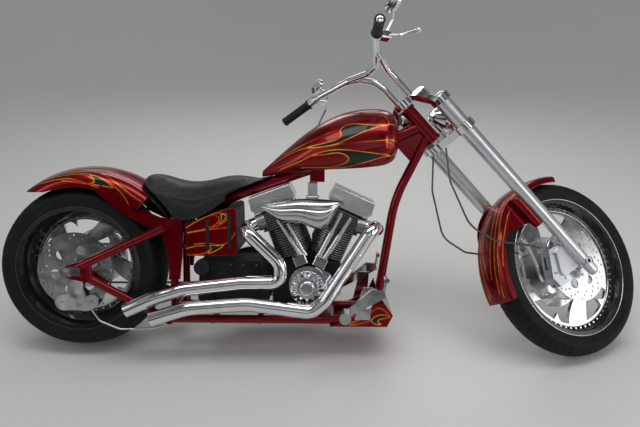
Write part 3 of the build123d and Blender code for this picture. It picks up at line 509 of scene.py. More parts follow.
def flames(along, across, licks, strokes):
    """Metres to the nearest stripe, and metres into the nearest dark lick, at each corner."""
    flat = np.stack([along.ravel(), np.abs(across).ravel()], axis=1)
    stripe = np.full(len(flat), 1e9)
    pocket = np.full(len(flat), -1e9)
    for lick in licks:
        loop = curve_through(lick, closed=True)
        gap = gap_to(flat, loop)
        pocket = np.maximum(pocket, np.where(within(flat, loop), gap, -gap))
    for stroke in strokes:
        stripe = np.minimum(stripe, gap_to(flat, curve_through(stroke)))
    return {name: field.reshape(along.shape) * MM
            for name, field in (("stripe", stripe), ("pocket", pocket))}


# %% [markdown]
# The tank is the same eight sections as the built part, joined by a smooth curve from section
# to section, with its front end closed by a rounded nose. Its flames start at the nose and
# trail towards the seat.

# %% Fuel tank
TANK_STATIONS = (
    # x, floor half width, half width, floor, widest, crown
    (708, 14, 20, 352, 362, 374),
    (780, 38, 56, 364, 398, 439),
    (860, 62, 92, 376, 430, 507),
    (960, 86, 124, 386, 455, 573),
    (1060, 100, 140, 392, 468, 609),
    (1150, 98, 138, 400, 480, 617),
    (1210, 80, 116, 420, 495, 600),
    (1240, 54, 82, 448, 508, 572),
)
TANK_NOSE = 1214.0
TANK_END = 1240.0


def tank_half(base, half, low, wide, crown):
    """Half a section, from the crown down to the middle of the floor."""
    up = crown - wide
    upper = arc((0, crown), (0.72 * half, wide + 0.70 * up), (half, wide), 41)
    bilge = (half - 0.22 * (half - base), low + 0.42 * (wide - low))
    lower = arc((half, wide), bilge, (base, low), 21)
    under = np.stack([np.linspace(base, 0, 12), np.full(12, float(low))], axis=1)
    return np.vstack([upper, lower[1:], under[1:]])


def smooth_rows(knots, table, at):
    """Natural cubic through the rows of a table."""
    n = len(knots)
    h = np.diff(knots)
    flat = table.reshape(n, -1)
    system = np.eye(n)
    right = np.zeros_like(flat)
    for i in range(1, n - 1):
        system[i, i - 1:i + 2] = h[i - 1], 2 * (h[i - 1] + h[i]), h[i]
        right[i] = 6 * ((flat[i + 1] - flat[i]) / h[i] - (flat[i] - flat[i - 1]) / h[i - 1])
    bend = np.linalg.solve(system, right)
    i = np.clip(np.searchsorted(knots, at) - 1, 0, n - 2)
    a, b = ((knots[i + 1] - at) / h[i])[:, None], ((at - knots[i]) / h[i])[:, None]
    curl = ((a**3 - a) * bend[i] + (b**3 - b) * bend[i + 1]) * h[i][:, None]**2 / 6
    return (a * flat[i] + b * flat[i + 1] + curl).reshape(len(at), *table.shape[1:])


TANK_LICKS = (
    # along the tank and down from its crown, a dark teardrop with a red tongue in it
    ((1186, 131), (1145, 138), (1098, 132), (1056, 121), (1026, 120), (1010, 134), (1015, 152),
     (1004, 163), (975, 160), (930, 142), (884, 116), (920, 146), (962, 170), (1004, 181),
     (1052, 176), (1098, 162), (1146, 146)),
    ((1200, 243), (1162, 248), (1122, 243), (1086, 236), (1048, 224), (1010, 208), (965, 189),
     (905, 164), (950, 194), (1002, 217), (1030, 236), (1042, 254), (1034, 268), (1008, 272),
     (975, 264), (938, 242), (976, 272), (1014, 288), (1054, 292), (1096, 284), (1146, 268)),
)
TANK_STROKES = (
    ((1003, 128), (976, 123), (946, 118), (908, 106), (868, 90), (830, 70), (790, 45)),
    ((884, 116), (834, 84), (794, 59), (752, 34)),
    ((1186, 131), (1192, 110), (1179, 88), (1146, 74), (1096, 66)),
    ((1186, 131), (1203, 113), (1219, 101)),
    ((1228, 152), (1190, 186), (1144, 200), (1096, 201), (1050, 197), (1012, 188), (974, 176)),
    ((1181, 198), (1206, 190), (1219, 196), (1216, 216), (1200, 243)),
    ((905, 164), (862, 146), (822, 121), (780, 92)),
    ((938, 242), (900, 211), (862, 176)),
    ((1120, 18), (1040, 30), (960, 26), (880, 14)),
)
TANK_POINTS = 100
nose_deep = TANK_END - TANK_NOSE
nose = TANK_NOSE + nose_deep * np.sin(np.radians(np.linspace(6, 90, 15)))
tank_x = np.concatenate([np.linspace(TANK_STATIONS[0][0], TANK_NOSE, 190), nose])
half = smooth_rows(np.array([float(row[0]) for row in TANK_STATIONS]),
                   np.array([tank_half(*row[1:]) for row in TANK_STATIONS]), tank_x)
half = np.array([spread(section, TANK_POINTS) for section in half])
down = np.array([lengths(section) for section in half])
past = np.clip(tank_x - TANK_NOSE, 0, None) / nose_deep
shrink = np.sqrt(np.clip(1 - past**2, 0, 1))[:, None]
middle = half[:, :, 1].mean(axis=1)[:, None]
half[:, :, 0] *= shrink
half[:, :, 1] = middle + (half[:, :, 1] - middle) * shrink
lengthwise = np.repeat(tank_x[:, None], 2 * TANK_POINTS - 1, axis=1)
sideways = np.concatenate([-half[:, ::-1, 0], half[:, 1:, 0]], axis=1)
upwards = np.concatenate([half[:, ::-1, 1], half[:, 1:, 1]], axis=1)
girth = np.concatenate([-down[:, ::-1], down[:, 1:]], axis=1)
panel("tank_skin", BIKE, np.stack([lengthwise, sideways, upwards], axis=2), (1060, 0, 470),
      paint_flames, "frame", "fuel_tank", closed=True,
      **flames(lengthwise, girth, TANK_LICKS, TANK_STROKES))

# %% [markdown]
# The rear fender is turned about a point 40 mm ahead of the axle. At each angle its section runs
# from one trimmed edge over the crown to the other, so the duck tail closes by itself.

# %% Rear fender
FENDER_X = 40.0
FENDER_R = 389.0
FENDER_HALF = 136.0
FENDER_WALL = 4.0
TRIM_X = (-300, -111, -51, 8, 66, 123, 173, 210, 300)
TRIM_Z = (299, 299, 313, 320, 314, 297, 271, 246, 214)
FENDER_ROWS, FENDER_POINTS = 172, 151
FENDER_LICKS = (
    ((26, 128), (58, 131), (92, 141), (134, 157), (104, 162), (70, 164), (47, 162), (52, 150),
     (44, 138)),
)
FENDER_STROKES = (
    ((-232, 100), (-168, 124), (-114, 133), (-57, 141), (-12, 154), (33, 166), (81, 173),
     (130, 177), (182, 181), (223, 188), (250, 196)),
    ((-205, 96), (-150, 112), (-100, 120), (-56, 122), (-14, 125), (24, 134), (48, 150), (38, 160),
     (8, 164), (-35, 156), (-90, 144)),
    ((-60, 112), (12, 122), (63, 130), (110, 142), (154, 156), (194, 171), (232, 188)),
    ((-40, 62), (30, 86), (78, 112), (126, 132), (178, 146), (226, 152), (268, 150)),
    ((-150, 40), (-60, 44), (20, 40), (90, 28), (160, 12)),
)
section = np.vstack([
    arc((-92, FENDER_R - 12), (0, FENDER_R), (92, FENDER_R - 12), 81)[40:],
    arc((92, FENDER_R - 12), (122, FENDER_R - 23), (FENDER_HALF, FENDER_R - 53), 31)[1:],
    np.stack([np.full(60, FENDER_HALF), np.linspace(FENDER_R - 54, FENDER_R - 139, 60)], axis=1),
])
section_run = lengths(section)


def trimmed_at(turn):
    """How far along the section the trim line cuts it, at one angle."""
    x = FENDER_X + section[:, 1] * math.sin(turn)
    over = section[:, 1] * math.cos(turn) - np.interp(x, TRIM_X, TRIM_Z)
    short = np.nonzero(over < 0)[0]
    if not len(short):
        return section_run[-1]
    if short[0] == 0:
        return 0.5
    low, high = short[0] - 1, short[0]
    share = over[low] / (over[low] - over[high])
    return section_run[low] + (section_run[high] - section_run[low]) * share


tail_end = math.degrees(math.asin(-math.sqrt(FENDER_R**2 - TRIM_Z[0]**2) / FENDER_R))
fender_rows = []
for turn in np.radians(np.linspace(tail_end + 0.05, 41.0, FENDER_ROWS)):
    end = trimmed_at(turn)
    across = np.linspace(-end, end, FENDER_POINTS)
    y = np.sign(across) * np.interp(np.abs(across), section_run, section[:, 0])
    r = np.interp(np.abs(across), section_run, section[:, 1])
    fender_rows.append(np.stack([FENDER_X + r * math.sin(turn), y, r * math.cos(turn), across,
                                 np.full(FENDER_POINTS, turn * FENDER_R)], axis=1))
fender_rows = np.array(fender_rows)
panel("rear_fender_skin", BIKE, fender_rows[:, :, :3], (FENDER_X, 0, 100), paint_flames, "frame",
      "rear_fender", wall=FENDER_WALL,
      **flames(fender_rows[:, :, 4], fender_rows[:, :, 3], FENDER_LICKS, FENDER_STROKES))

# %% [markdown]
# The front fender hugs the front tyre from behind the axle line to its top. Its skin lies over
# the built fender, which keeps the pods beside the fork legs. Long stripes run down its shoulders.

# %% Front fender
HUB_X, HUB_Z = FRONT_HUB.x / MM, FRONT_HUB.z / MM
HUG_R = 375.6
HUG_WALL = 0.5
HUG_HALF = 74.6
HUG_ROWS, HUG_POINTS = 225, 71
HUG_LICKS = (
    ((-330, 30), (-290, 36), (-244, 46), (-196, 52), (-240, 54), (-286, 52), (-316, 44)),
)
HUG_STROKES = (
    ((-715, 40), (-640, 52), (-560, 60), (-470, 62), (-380, 56), (-290, 44), (-200, 24),
     (-110, 10)),
    ((-700, 26), (-620, 36), (-530, 43), (-440, 42), (-350, 34), (-260, 20), (-180, 6)),
    ((-640, 10), (-560, 20), (-480, 24), (-400, 20), (-330, 8)),
    ((-600, 76), (-520, 82), (-440, 84), (-360, 80), (-290, 70), (-196, 52)),
)
hug = np.vstack([
    arc((-46, HUG_R - 4), (0, HUG_R), (46, HUG_R - 4), 61)[30:],
    arc((46, HUG_R - 4), (66, HUG_R - 9), (HUG_HALF, HUG_R - 19.6), 21)[1:],
    np.stack([np.full(12, HUG_HALF), np.linspace(HUG_R - 21, HUG_R - 34, 12)], axis=1),
])
hug_run = lengths(hug)
turns = np.radians(np.linspace(-111.9, -5.1, HUG_ROWS))[:, None]
across = np.linspace(-hug_run[-1], hug_run[-1], HUG_POINTS)[None, :]
from_tip = np.clip((turns + math.radians(112)) * HUG_R / 19.0, 0, 1)
across = across * (1 - 0.16 * (1 - np.sqrt(1 - (1 - from_tip)**2)))
r = np.interp(np.abs(across), hug_run, hug[:, 1])
y = np.sign(across) * np.interp(np.abs(across), hug_run, hug[:, 0])
points = np.stack([HUB_X + r * np.sin(turns), y, HUB_Z + r * np.cos(turns)], axis=2)
panel("front_fender_skin", FORK, points, FRONT_HUB / MM, paint_flames, "fork", wall=HUG_WALL,
      **flames(np.repeat(turns * HUG_R, HUG_POINTS, axis=1), across, HUG_LICKS, HUG_STROKES))

# %% [markdown]
# The oil tank's flames lie on its flat sides. A thin skin follows the outline of the side.

# %% Oil tank sides
SHEET_WALL = 0.6


def side_skins(name, x, z, half, inside, drawn):
    """A thin painted sheet on each side of the machine, half its width from the middle."""
    for side, word in SIDES:
        points = np.stack([x, np.full_like(x, side * half), z], axis=2)
        panel(name + word, BIKE, points, inside, paint_flames, "frame", wall=SHEET_WALL, **drawn)


OIL_TOP_X = (424, 468, 545, 606, 618)
OIL_TOP_Z = (184, 195, 229, 244, 236)
OIL_FLOOR = 58.0
OIL_SIDE = 122.7
OIL_LICKS = (
    ((560, 216), (577, 214), (578, 205), (566, 191), (552, 181), (561, 200)),
    ((516, 97), (544, 96), (568, 100), (551, 84), (526, 71), (508, 67), (520, 82)),
)
OIL_STROKES = (
    ((424, 163), (462, 187), (500, 206), (532, 215), (552, 202), (545, 183), (520, 168),
     (480, 156), (430, 146)),
    ((497, 212), (534, 221), (577, 220), (589, 208), (574, 190), (552, 176), (526, 165)),
    ((430, 144), (488, 154), (545, 163), (592, 166)),
    ((424, 84), (461, 93), (498, 95), (513, 82), (502, 69), (466, 61), (426, 58)),
    ((456, 101), (506, 105), (540, 100), (568, 101), (596, 120), (612, 146)),
)
oil_x = np.repeat(np.linspace(425, 617, 66)[:, None], 62, axis=1)
oil_tall = np.interp(oil_x, OIL_TOP_X, OIL_TOP_Z) - 1.5 - OIL_FLOOR
oil_z = OIL_FLOOR + oil_tall * np.linspace(0, 1, 62)[None, :]
side_skins("oil_tank_skin_", oil_x, oil_z, OIL_SIDE, (520, 0, 140),
           flames(oil_x, oil_z, OIL_LICKS, OIL_STROKES))

# %% [markdown]
# The chin's sides carry one more flame, and the same kind of skin.

# %% Chin sides
CHIN_TOP = ((975, 1128, 1158, 1218), (-216, -150, -82, -172))
CHIN_LOW = ((975, 1196, 1218), (-216, -216, -172))
CHIN_SIDE = 134.7
CHIN_UP = 400.0
CHIN_LICKS = (
    # along the chin, and up from 400 mm below the axle, because a mark's height can't be negative
    ((1206, 224), (1180, 232), (1152, 226), (1136, 210), (1150, 196), (1172, 194), (1160, 204),
     (1168, 214)),
)
CHIN_STROKES = (
    ((1208, 226), (1184, 250), (1160, 258), (1132, 240), (1090, 212), (1040, 194)),
    ((1136, 210), (1100, 198), (1050, 190)),
)
chin_x = np.repeat(np.linspace(1004, 1216, 72)[:, None], 40, axis=1)
chin_top, chin_low = np.interp(chin_x, *CHIN_TOP) - 1.2, np.interp(chin_x, *CHIN_LOW) + 1.2
chin_z = chin_low + (chin_top - chin_low) * np.linspace(0, 1, 40)[None, :]
side_skins("chin_skin_", chin_x, chin_z, CHIN_SIDE, (1120, 0, -170),
           flames(chin_x, chin_z + CHIN_UP, CHIN_LICKS, CHIN_STROKES))

# %% [markdown]
# A black sheet carries the fender's curve on under the seat. Its black is painted shade: it fills
# the gap between the fender and the seat, which is dark there.

# %% Painted shade under the seat
SHADE_SHEET_R, SHADE_SHEET_HALF, SHADE_SHEET_DROP, SHADE_SHEET_WALL = 382.0, 116.0, 10.0, 2.5
turns, y = np.meshgrid(np.radians(np.linspace(36.0, 57.5, 40)),
                       np.linspace(-SHADE_SHEET_HALF, SHADE_SHEET_HALF, 60), indexing="ij")
r = SHADE_SHEET_R - SHADE_SHEET_DROP * (np.abs(y) / SHADE_SHEET_HALF)**4
points = np.stack([FENDER_X + r * np.sin(turns), y, r * np.cos(turns)], axis=2)
# A black sheet that stands in for the shade under the seat.
panel("under_seat_shade_sheet", BIKE, points, (FENDER_X, 0, 0), engine_black, "frame", wall=SHADE_SHEET_WALL)

# %% [markdown]
# Tyres are rings of grid too: the section of the built tyre, closed behind the rim, swept round
# the axle. The tread is cut by moving corners towards the axle where a groove runs.

# %% Tyres
TREAD_STEP = 2.6
TREAD_DEEP = 3.2
LINE_DEEP = 1.6
TYRE_FIT = 0.2
# shares of the tread's half width, past 1 on the side wall
GROOVES_FROM, GROOVES_TO, LINE_AT = 0.16, 1.12, 1.24
WHEELS = {"front": (FORK, (HUB_X, 0, HUB_Z)), "rear": (BIKE, (0, 0, 0))}


def tyre_section(radius, crown, half, lip_r, lip_y, shoulder):
    """Tread, sidewall and bead of one half, as (across, radius), from the middle of the tread."""
    sr = radius - crown + math.sqrt(crown**2 - shoulder**2)
    tread = arc((-shoulder, sr), (0, radius), (shoulder, sr), 121)[60:]
    side = arc((shoulder, sr), (half - 1.5, (sr + lip_r) / 2 + 12), (half - 6, lip_r + 22), 41)
    bead = np.array([(lip_y + 4, lip_r + 8), (lip_y + 1, lip_r + 0.5), (lip_y - 9, lip_r + 0.5),
                     (lip_y - 10, lip_r - 11), (0, lip_r - 11)])
    return tread, np.vstack([spread(side, 13), bead])


def tyre(end, around, pitch, sweep, groove, **size):
    """A tyre whose grooves repeat every pitch, lean by sweep pitches and are twice groove wide."""
    matrix, hub = WHEELS[end]
    tread, side = tyre_section(**size)
    tread = spread(tread, int(lengths(tread)[-1] / TREAD_STEP))
    one = np.vstack([tread, side[1:]])
    run = lengths(one)
    across = np.concatenate([-run[::-1], run[1:]])[None, :]
    y = np.concatenate([-one[::-1, 0], one[1:, 0]])[None, :]
    r = np.concatenate([one[::-1, 1], one[1:, 1]])[None, :]
    turn = np.linspace(0, math.tau, around + 1)[:, None]
    reach = lengths(tread)[-1]
    wave = np.sin(np.clip(np.abs(across) / reach, 0, 1.15) * math.pi / 2)
    count = round(math.tau * size["radius"] / pitch)
    phase = turn / math.tau * count + np.sign(across) * 0.25 - sweep * wave
    off = np.abs(phase - np.round(phase)) * pitch
    out = np.abs(across)
    starts = np.clip((out - GROOVES_FROM * reach) / 5, 0, 1)
    stops = np.clip((GROOVES_TO * reach - out) / 6, 0, 1)
    deep = TREAD_DEEP * np.clip((groove - off) / 1.6, 0, 1) * starts * stops
    line = LINE_DEEP * np.clip((2.4 - np.abs(out - LINE_AT * reach)) / 1.2, 0, 1)
    r = r - deep - line - TYRE_FIT
    y = np.repeat(y, around + 1, axis=0)
    points = np.stack([hub[0] + r * np.sin(turn), y, hub[2] + r * np.cos(turn)], axis=2)
    panel(end + "_tyre_tread", matrix, points, hub, tyre_rubber, end + "_wheel", end + "_tyre")


tyre("rear", around=600, pitch=46.0, sweep=0.9, groove=3.6,
     radius=322, crown=230, half=120, lip_r=242, lip_y=112, shoulder=96.0)
tyre("front", around=700, pitch=34.0, sweep=0.7, groove=3.2,
     radius=351, crown=75, half=60, lip_r=277, lip_y=46, shoulder=52.0)

# %% [markdown]
# Small turned things share one function: a profile of (distance along the axis, radius) spun
# into a ring. Bolt heads are the same profile with six sides, repeated round a circle.

# %% Turned rings and bolts
RIGHT, LEFT = (0, -1, 0), (0, 1, 0)
SHARP_FROM = math.radians(38)
BAND_WIDE = 13.5
HUB_BOLTS = (5, 5.0, 4.5, polished, 0.3)


def spin_profile(bm, matrix, centre, axis, profile, sides):
    """Adds a spun profile to bm. Profile pairs are (along the axis, radius), in millimetres."""
    axis = Vector(axis).normalized()
    first = axis.orthogonal().normalized()
    second = axis.cross(first)
    rows = []
    for along, r in profile:
        row = []
        for i in range(sides):
            t = math.tau * i / sides
            spoke = first * math.cos(t) + second * math.sin(t)
            row.append(bm.verts.new(matrix @ ((Vector(centre) + axis * along + spoke * r) * MM)))
        rows.append(row)
    for low, high in zip(rows[:-1], rows[1:]):
        for i in range(sides):
            bm.faces.new((low[i], low[(i + 1) % sides], high[(i + 1) % sides], high[i]))
    if profile[0] != profile[-1]:
        bm.faces.new(rows[0][::-1])
        bm.faces.new(rows[-1])


def turned(name, matrix, centre, axis, profile, finish, body, *nodes, sides=96):
    """A spun piece of its own. A profile that ends where it starts gives a closed ring."""
    bm = bmesh.new()
    spin_profile(bm, matrix, centre, axis, profile, sides)
    bmesh.ops.remove_doubles(bm, verts=bm.verts, dist=0.000001)
    bmesh.ops.recalc_face_normals(bm, faces=bm.faces)
    made = piece(name, bm, finish, body, *nodes)
    made.data.set_sharp_from_angle(angle=SHARP_FROM)


def ring(end, name, profile, finish):
    """A ring that turns with a wheel. Its profile runs to the left of the hub."""
    turned(end + name, *WHEELS[end], LEFT, profile, finish, end + "_wheel", sides=160)


def hoop(end, name, r, y, wire, finish):
    """Round bead lying on a circle across the wheel."""
    angles = [math.tau * k / 10 for k in range(11)]
    ring(end, name, [(y + wire * math.sin(t), r + wire * math.cos(t)) for t in angles], finish)


def bolts(name, matrix, places, size, tall, finish, body):
    """Hexagon heads at places, each a point and the way it faces."""
    profile = [(-1.0, size), (tall * 0.78, size), (tall, size * 0.84), (tall, size * 0.40),
               (tall * 0.7, size * 0.34)]
    bm = bmesh.new()
    for at, facing in places:
        spin_profile(bm, matrix, at, facing, profile, 6)
    bmesh.ops.recalc_face_normals(bm, faces=bm.faces)
    made = piece(name, bm, finish, body)
    made.data.shade_flat()


def wheel_bolts(end, name, r, y, count, size, tall, finish, start=0.0):
    """Bolts on a circle round a wheel, facing out to the side that they are on."""
    matrix, hub = WHEELS[end]
    facing = LEFT if y > 0 else RIGHT
    angles = [math.tau * i / count + start for i in range(count)]
    places = [((hub[0] + r * math.cos(t), y, hub[2] + r * math.sin(t)), facing) for t in angles]
    bolts(end + name, matrix, places, size, tall, finish, end + "_wheel")


for side, word in SIDES:
    for end, r, y in (("front", 249.3, 12.0), ("rear", 199.3, 13.0)):
        band = [(side * (y - 4.4), r - BAND_WIDE), (side * (y - 3.6), r - BAND_WIDE),
                (side * (y + 0.7), r), (side * (y - 0.1), r), (side * (y - 4.4), r - BAND_WIDE)]
        ring(end, "_band_" + word, band, gloss_black)
    hoop("front", "_lip_" + word, 276.5, side * 46.0, 1.6, chrome)
    hoop("rear", "_lip_" + word, 241.5, side * 112.0, 1.4, dark_steel)
    hoop("front", "_step_" + word, 235.4, side * 8.2, 1.6, chrome)
    wheel_bolts("front", "_rim_bolts_" + word, 243.0, side * 10.4, 60, 4.6, 4.4, chrome)
    wheel_bolts("rear", "_rim_bolts_" + word, 193.0, side * 11.4, 40, 4.4, 4.6, chrome)
    wheel_bolts("front", "_rotor_bolts_" + word, 50.0, side * 72.5, *HUB_BOLTS)
wheel_bolts("rear", "_rotor_bolts", 42.0, -138.5, *HUB_BOLTS)
wheel_bolts("rear", "_pulley_bolts", 44.0, 155.0, *HUB_BOLTS)

# %% [markdown]
# The cam cover is fluted: a shallow cone whose height ripples twelve times round. Its bolts, the
# primary cover's and the calipers' come with it.

# %% Engine covers
COVER_AT = (888.0, -138.2, -64.0)
FLUTE_R = (39.0, 66.0)
FLUTES = 12
flute_r = np.linspace(*FLUTE_R, 14)[:, None]
flute_t = np.linspace(0, math.tau, 20 * FLUTES + 1)[None, :]
share = (flute_r - FLUTE_R[0]) / (FLUTE_R[1] - FLUTE_R[0])
rise = 8.0 - 7.0 * share + 1.92 * np.cos(FLUTES * flute_t) * np.sin(share * math.pi)
points = np.stack([COVER_AT[0] + flute_r * np.cos(flute_t), COVER_AT[1] - rise,
                   COVER_AT[2] + flute_r * np.sin(flute_t)], axis=2)
panel("cam_cover_flutes", BIKE, points, (888, 0, -64), chrome, "frame", wall=1.6)

cover_bolts = ((842, 0), (905, 8), (958, -20), (950, -62), (834, -60), (862, -108))
bolts("cam_cover_bolts", BIKE, [((x, -138, z), RIGHT) for x, z in cover_bolts], 4.6, 4.5, chrome,
      "frame")
primary_bolts = []
for x, z, r, angles in ((890, -85, 82, (-75, -25, 25, 75)), (640, -62, 90, (105, 150, 195, 240))):
    for t in np.radians(angles):
        primary_bolts.append(((x + r * math.cos(t), 208, z + r * math.sin(t)), LEFT))
bolts("primary_cover_bolts", BIKE, primary_bolts, 5.0, 5.0, chrome, "frame")
turned("primary_inspection_cap", BIKE, (890, 207.5, -85), LEFT,
       [(0, 44), (4, 44), (6, 41), (7, 30), (5.6, 26), (5.6, 12), (7.0, 8), (7.2, 0.5)],
       polished, "frame")
turned("primary_clutch_cap", BIKE, (640, 207.5, -62), LEFT,
       [(0, 56), (4, 56), (7, 51), (8, 36), (6.4, 31), (6.4, 14), (8.0, 9), (8.2, 0.5)],
       polished, "frame")
caliper_bolts = ((-132, -40), (-132, 34), (-88, 52), (-84, -58))
bolts("front_caliper_bolts", FORK, [((HUB_X + x, side * 96, HUB_Z + z), (0, side, 0))
                                    for side, word in SIDES for x, z in caliper_bolts],
      6.0, 5.0, chrome, "fork")
bolts("rear_caliper_bolts", BIKE, [((x, -160, -122), RIGHT) for x in (-52, 66)], 6.0, 6.0, chrome,
      "frame")
gear_bolts = ((492, -96), (520, -144), (690, -146), (722, -100), (722, -56), (690, 16), (640, 16),
              (590, 16))
bolts("gearbox_bolts", BIKE, [((x, -92, z), RIGHT) for x, z in gear_bolts], 5.0, 5.0, chrome,
      "frame")

# %% [markdown]
# What the rider holds comes last: grips with moulded rings, mirror glass, and the lamp lenses.
# The fork's drawing space runs up the steering axis, so one function finds a place on it.

# %% Grips, mirrors and lamps
AXIS_AT = BIKE.inverted() @ STEER_POINT
AHEAD = Vector((0, 1, 0)).cross(AXIS_UP)
FOOT = (AXIS_AT + AXIS_UP * (FRONT_HUB - AXIS_AT).dot(AXIS_UP)) / MM


def on_fork(up, ahead, left):
    """Millimetres up the steering axis from the hub's height, ahead of the axis and to the left."""
    return FOOT + AXIS_UP * up + AHEAD * ahead + Vector((0, left, 0))


GRIP_R = 17.2
GRIP_STEP = 6.5
GROOVE_R = GRIP_R - 1.7
for side, word in SIDES:
    knee = on_fork(1170, -92, side * 235)
    end = on_fork(1196, -188, side * 412)
    along = (end - knee).normalized()
    start = knee + along * 62
    reach = (end - start).length + 3
    profile = [(0.0, 13.0), (0.0, GRIP_R + 3.0), (3.0, GRIP_R + 3.6), (6.0, GRIP_R + 2.4),
               (8.0, GRIP_R)]
    for k in range(int((reach - 24) / GRIP_STEP)):
        here = 10.0 + GRIP_STEP * k
        profile += [(here, GRIP_R), (here + 0.8, GROOVE_R), (here + 2.2, GROOVE_R),
                    (here + 3.0, GRIP_R)]
    profile += [(reach - 8, GRIP_R), (reach - 6, GRIP_R + 1.4), (reach - 1.5, GRIP_R + 1.2),
                (reach, GRIP_R - 1.5), (reach, 1.0)]
    stands_for = ["grips"] if word == "right" else []
    turned("grip_" + word, FORK, start, along, profile, soft_rubber, "fork", *stands_for, sides=48)
    turned("bar_end_" + word, FORK, end + along * 2.6, along,
           [(0, 11.5), (1.4, 11.5), (3.0, 9.5), (3.4, 5.0), (2.2, 3.0), (2.2, 0.4)],
           chrome, "fork", sides=48)

MIRROR_TALL, MIRROR_WIDE = 29.0, 46.0
glass = Finish("mirror_glass", (0.82, 0.84, 0.86), Metallic=1.0)
glass.set(Roughness=glass.noise(30.0, detail=3.0) * 0.03 + 0.01)
wide_way = (FORK.to_3x3() @ Vector(LEFT)).normalized()
for side, word in SIDES:
    at = on_fork(1219, -12, side * 322)
    bm = bmesh.new()
    spin_profile(bm, FORK, at, (-1, 0, 0),
                 [(-0.5, MIRROR_TALL), (1.6, 28.6), (2.2, 27.2), (1.2, 26.4), (1.3, 0.5)], 72)
    middle = FORK @ (at * MM)
    for vert in bm.verts:
        shift = (vert.co - middle).dot(wide_way)
        vert.co += wide_way * shift * (MIRROR_WIDE / MIRROR_TALL - 1)
    bmesh.ops.recalc_face_normals(bm, faces=bm.faces)
    piece("mirror_glass_" + word, bm, glass, "fork")

lens = Finish("lamp_glass", (0.70, 0.73, 0.76), Metallic=0.55, Coat_Weight=1.0, Coat_Roughness=0.01)
ribs = lens.place().part("Y") * 900.0
lens.set(Roughness=lens.noise(40.0) * 0.06 + 0.05)
lens.bump(ribs.math("SINE") * 0.5 + lens.noise(60.0) * 0.3, 0.0006)
lamp_front = on_fork(785, 95, 0) + Vector((54, 0, 0))
turned("headlight_rim", FORK, lamp_front, (1, 0, 0),
       [(0, 52.4), (3, 53.6), (7, 53.2), (9, 50.5), (8, 47.5)], chrome, "fork")
turned("headlight_glass", FORK, lamp_front, (1, 0, 0),
       [(6.5, 48.5), (9.5, 42), (12, 32), (13.6, 20), (14.4, 8), (14.5, 0.5)], lens, "fork")

TAIL_AT, TAIL_SIZE = (-94.5, 262, 24), (9.0, 78.0, 18.0)
red_glass = Finish("red_lens", (0.40, 0.004, 0.004), Roughness=0.12, Coat_Weight=1.0,
                   Coat_Roughness=0.02)
facets = red_glass.node("ShaderNodeTexVoronoi", {}, Vector=red_glass.place(), Scale=260.0)
red_glass.set(Base_Color=red_glass.mix(facets.step(0.1, 0.7), (0.55, 0.012, 0.008),
                                       (0.16, 0.002, 0.002)))
red_glass.bump(facets, 0.0008)
bm = bmesh.new()
bmesh.ops.create_cube(bm, size=1.0)
for vert in bm.verts:
    vert.co = Vector(TAIL_AT) + vert.co * Vector(TAIL_SIZE)
bmesh.ops.bevel(bm, geom=bm.edges[:], offset=3.6, segments=4, profile=0.5, affect="EDGES")
bmesh.ops.transform(bm, matrix=BIKE @ Matrix.Diagonal((MM, MM, MM, 1)), verts=bm.verts)
piece("tail_lamp_lens", bm, red_glass, "frame")

# %% [markdown]
# The seat is padded, so it is swollen by a short cloth simulation. It starts a little smaller
# than its place, its underside is held where it rests, and no point may move far.

# %% Seat
SEAT_VOXEL = 0.0055
SEAT_START = 0.0035
SEAT_CAP = 0.0065
HELD_FROM = -0.25
HELD_SHARE = 0.15
HELD_CAP = 0.0005
SEAT_PRESSURE = 4.0
CLOTH_FRAMES = 20


def only_mesh(obj):
    """The object's mesh with its modifiers applied."""
    graph = bpy.context.evaluated_depsgraph_get()
    return bpy.data.meshes.new_from_object(obj.evaluated_get(graph))


def corners(mesh):
    """The mesh's vertices as rows of x, y and z."""
    flat = np.empty(len(mesh.vertices) * 3)
    mesh.vertices.foreach_get("co", flat)
    return flat.reshape(-1, 3)


pad = put("seat_pad", NODES["seat"].data.copy())
remesh = pad.modifiers.new("voxels", "REMESH")
remesh.mode = "VOXEL"
remesh.voxel_size = SEAT_VOXEL
remesh.use_smooth_shade = True
ease = pad.modifiers.new("ease", "SMOOTH")
ease.factor = 0.5
ease.iterations = 6
pad.data = only_mesh(pad)
pad.modifiers.clear()
rest = corners(pad.data)
outward = np.array([tuple(vert.normal) for vert in pad.data.vertices])
below = outward @ np.array(UPWARD) < HELD_FROM
start_from = rest - outward * SEAT_START * np.where(below, HELD_SHARE, 1.0)[:, None]
pad.data.vertices.foreach_set("co", start_from.ravel())
held = pad.vertex_groups.new(name="held")
held.add(np.nonzero(below)[0].tolist(), 1.0, "REPLACE")
cloth = pad.modifiers.new("cloth", "CLOTH")
cloth.settings.use_pressure = True
cloth.settings.uniform_pressure_force = SEAT_PRESSURE
cloth.settings.vertex_group_mass = "held"
cloth.settings.effector_weights.gravity = 0.0
cloth.settings.quality = 4
cloth.point_cache.frame_start = 1
cloth.point_cache.frame_end = CLOTH_FRAMES
for frame_number in range(1, CLOTH_FRAMES + 1):
    bpy.context.scene.frame_set(frame_number)
moved = corners(only_mesh(pad)) - start_from
far = np.linalg.norm(moved, axis=1)
cap = np.where(below, HELD_CAP, SEAT_CAP)
moved *= np.minimum(1.0, cap / np.maximum(far, 1e-9))[:, None]
pad.modifiers.clear()
pad.data.vertices.foreach_set("co", (start_from + moved).ravel())
bpy.context.scene.frame_set(1)
print("seat swelled by up to", round(float(far.max()) * 1000, 1), "mm before the cap")
pad.data.update()
smooth = pad.modifiers.new("smooth", "SUBSURF")
smooth.levels = 1
smooth.render_levels = 1

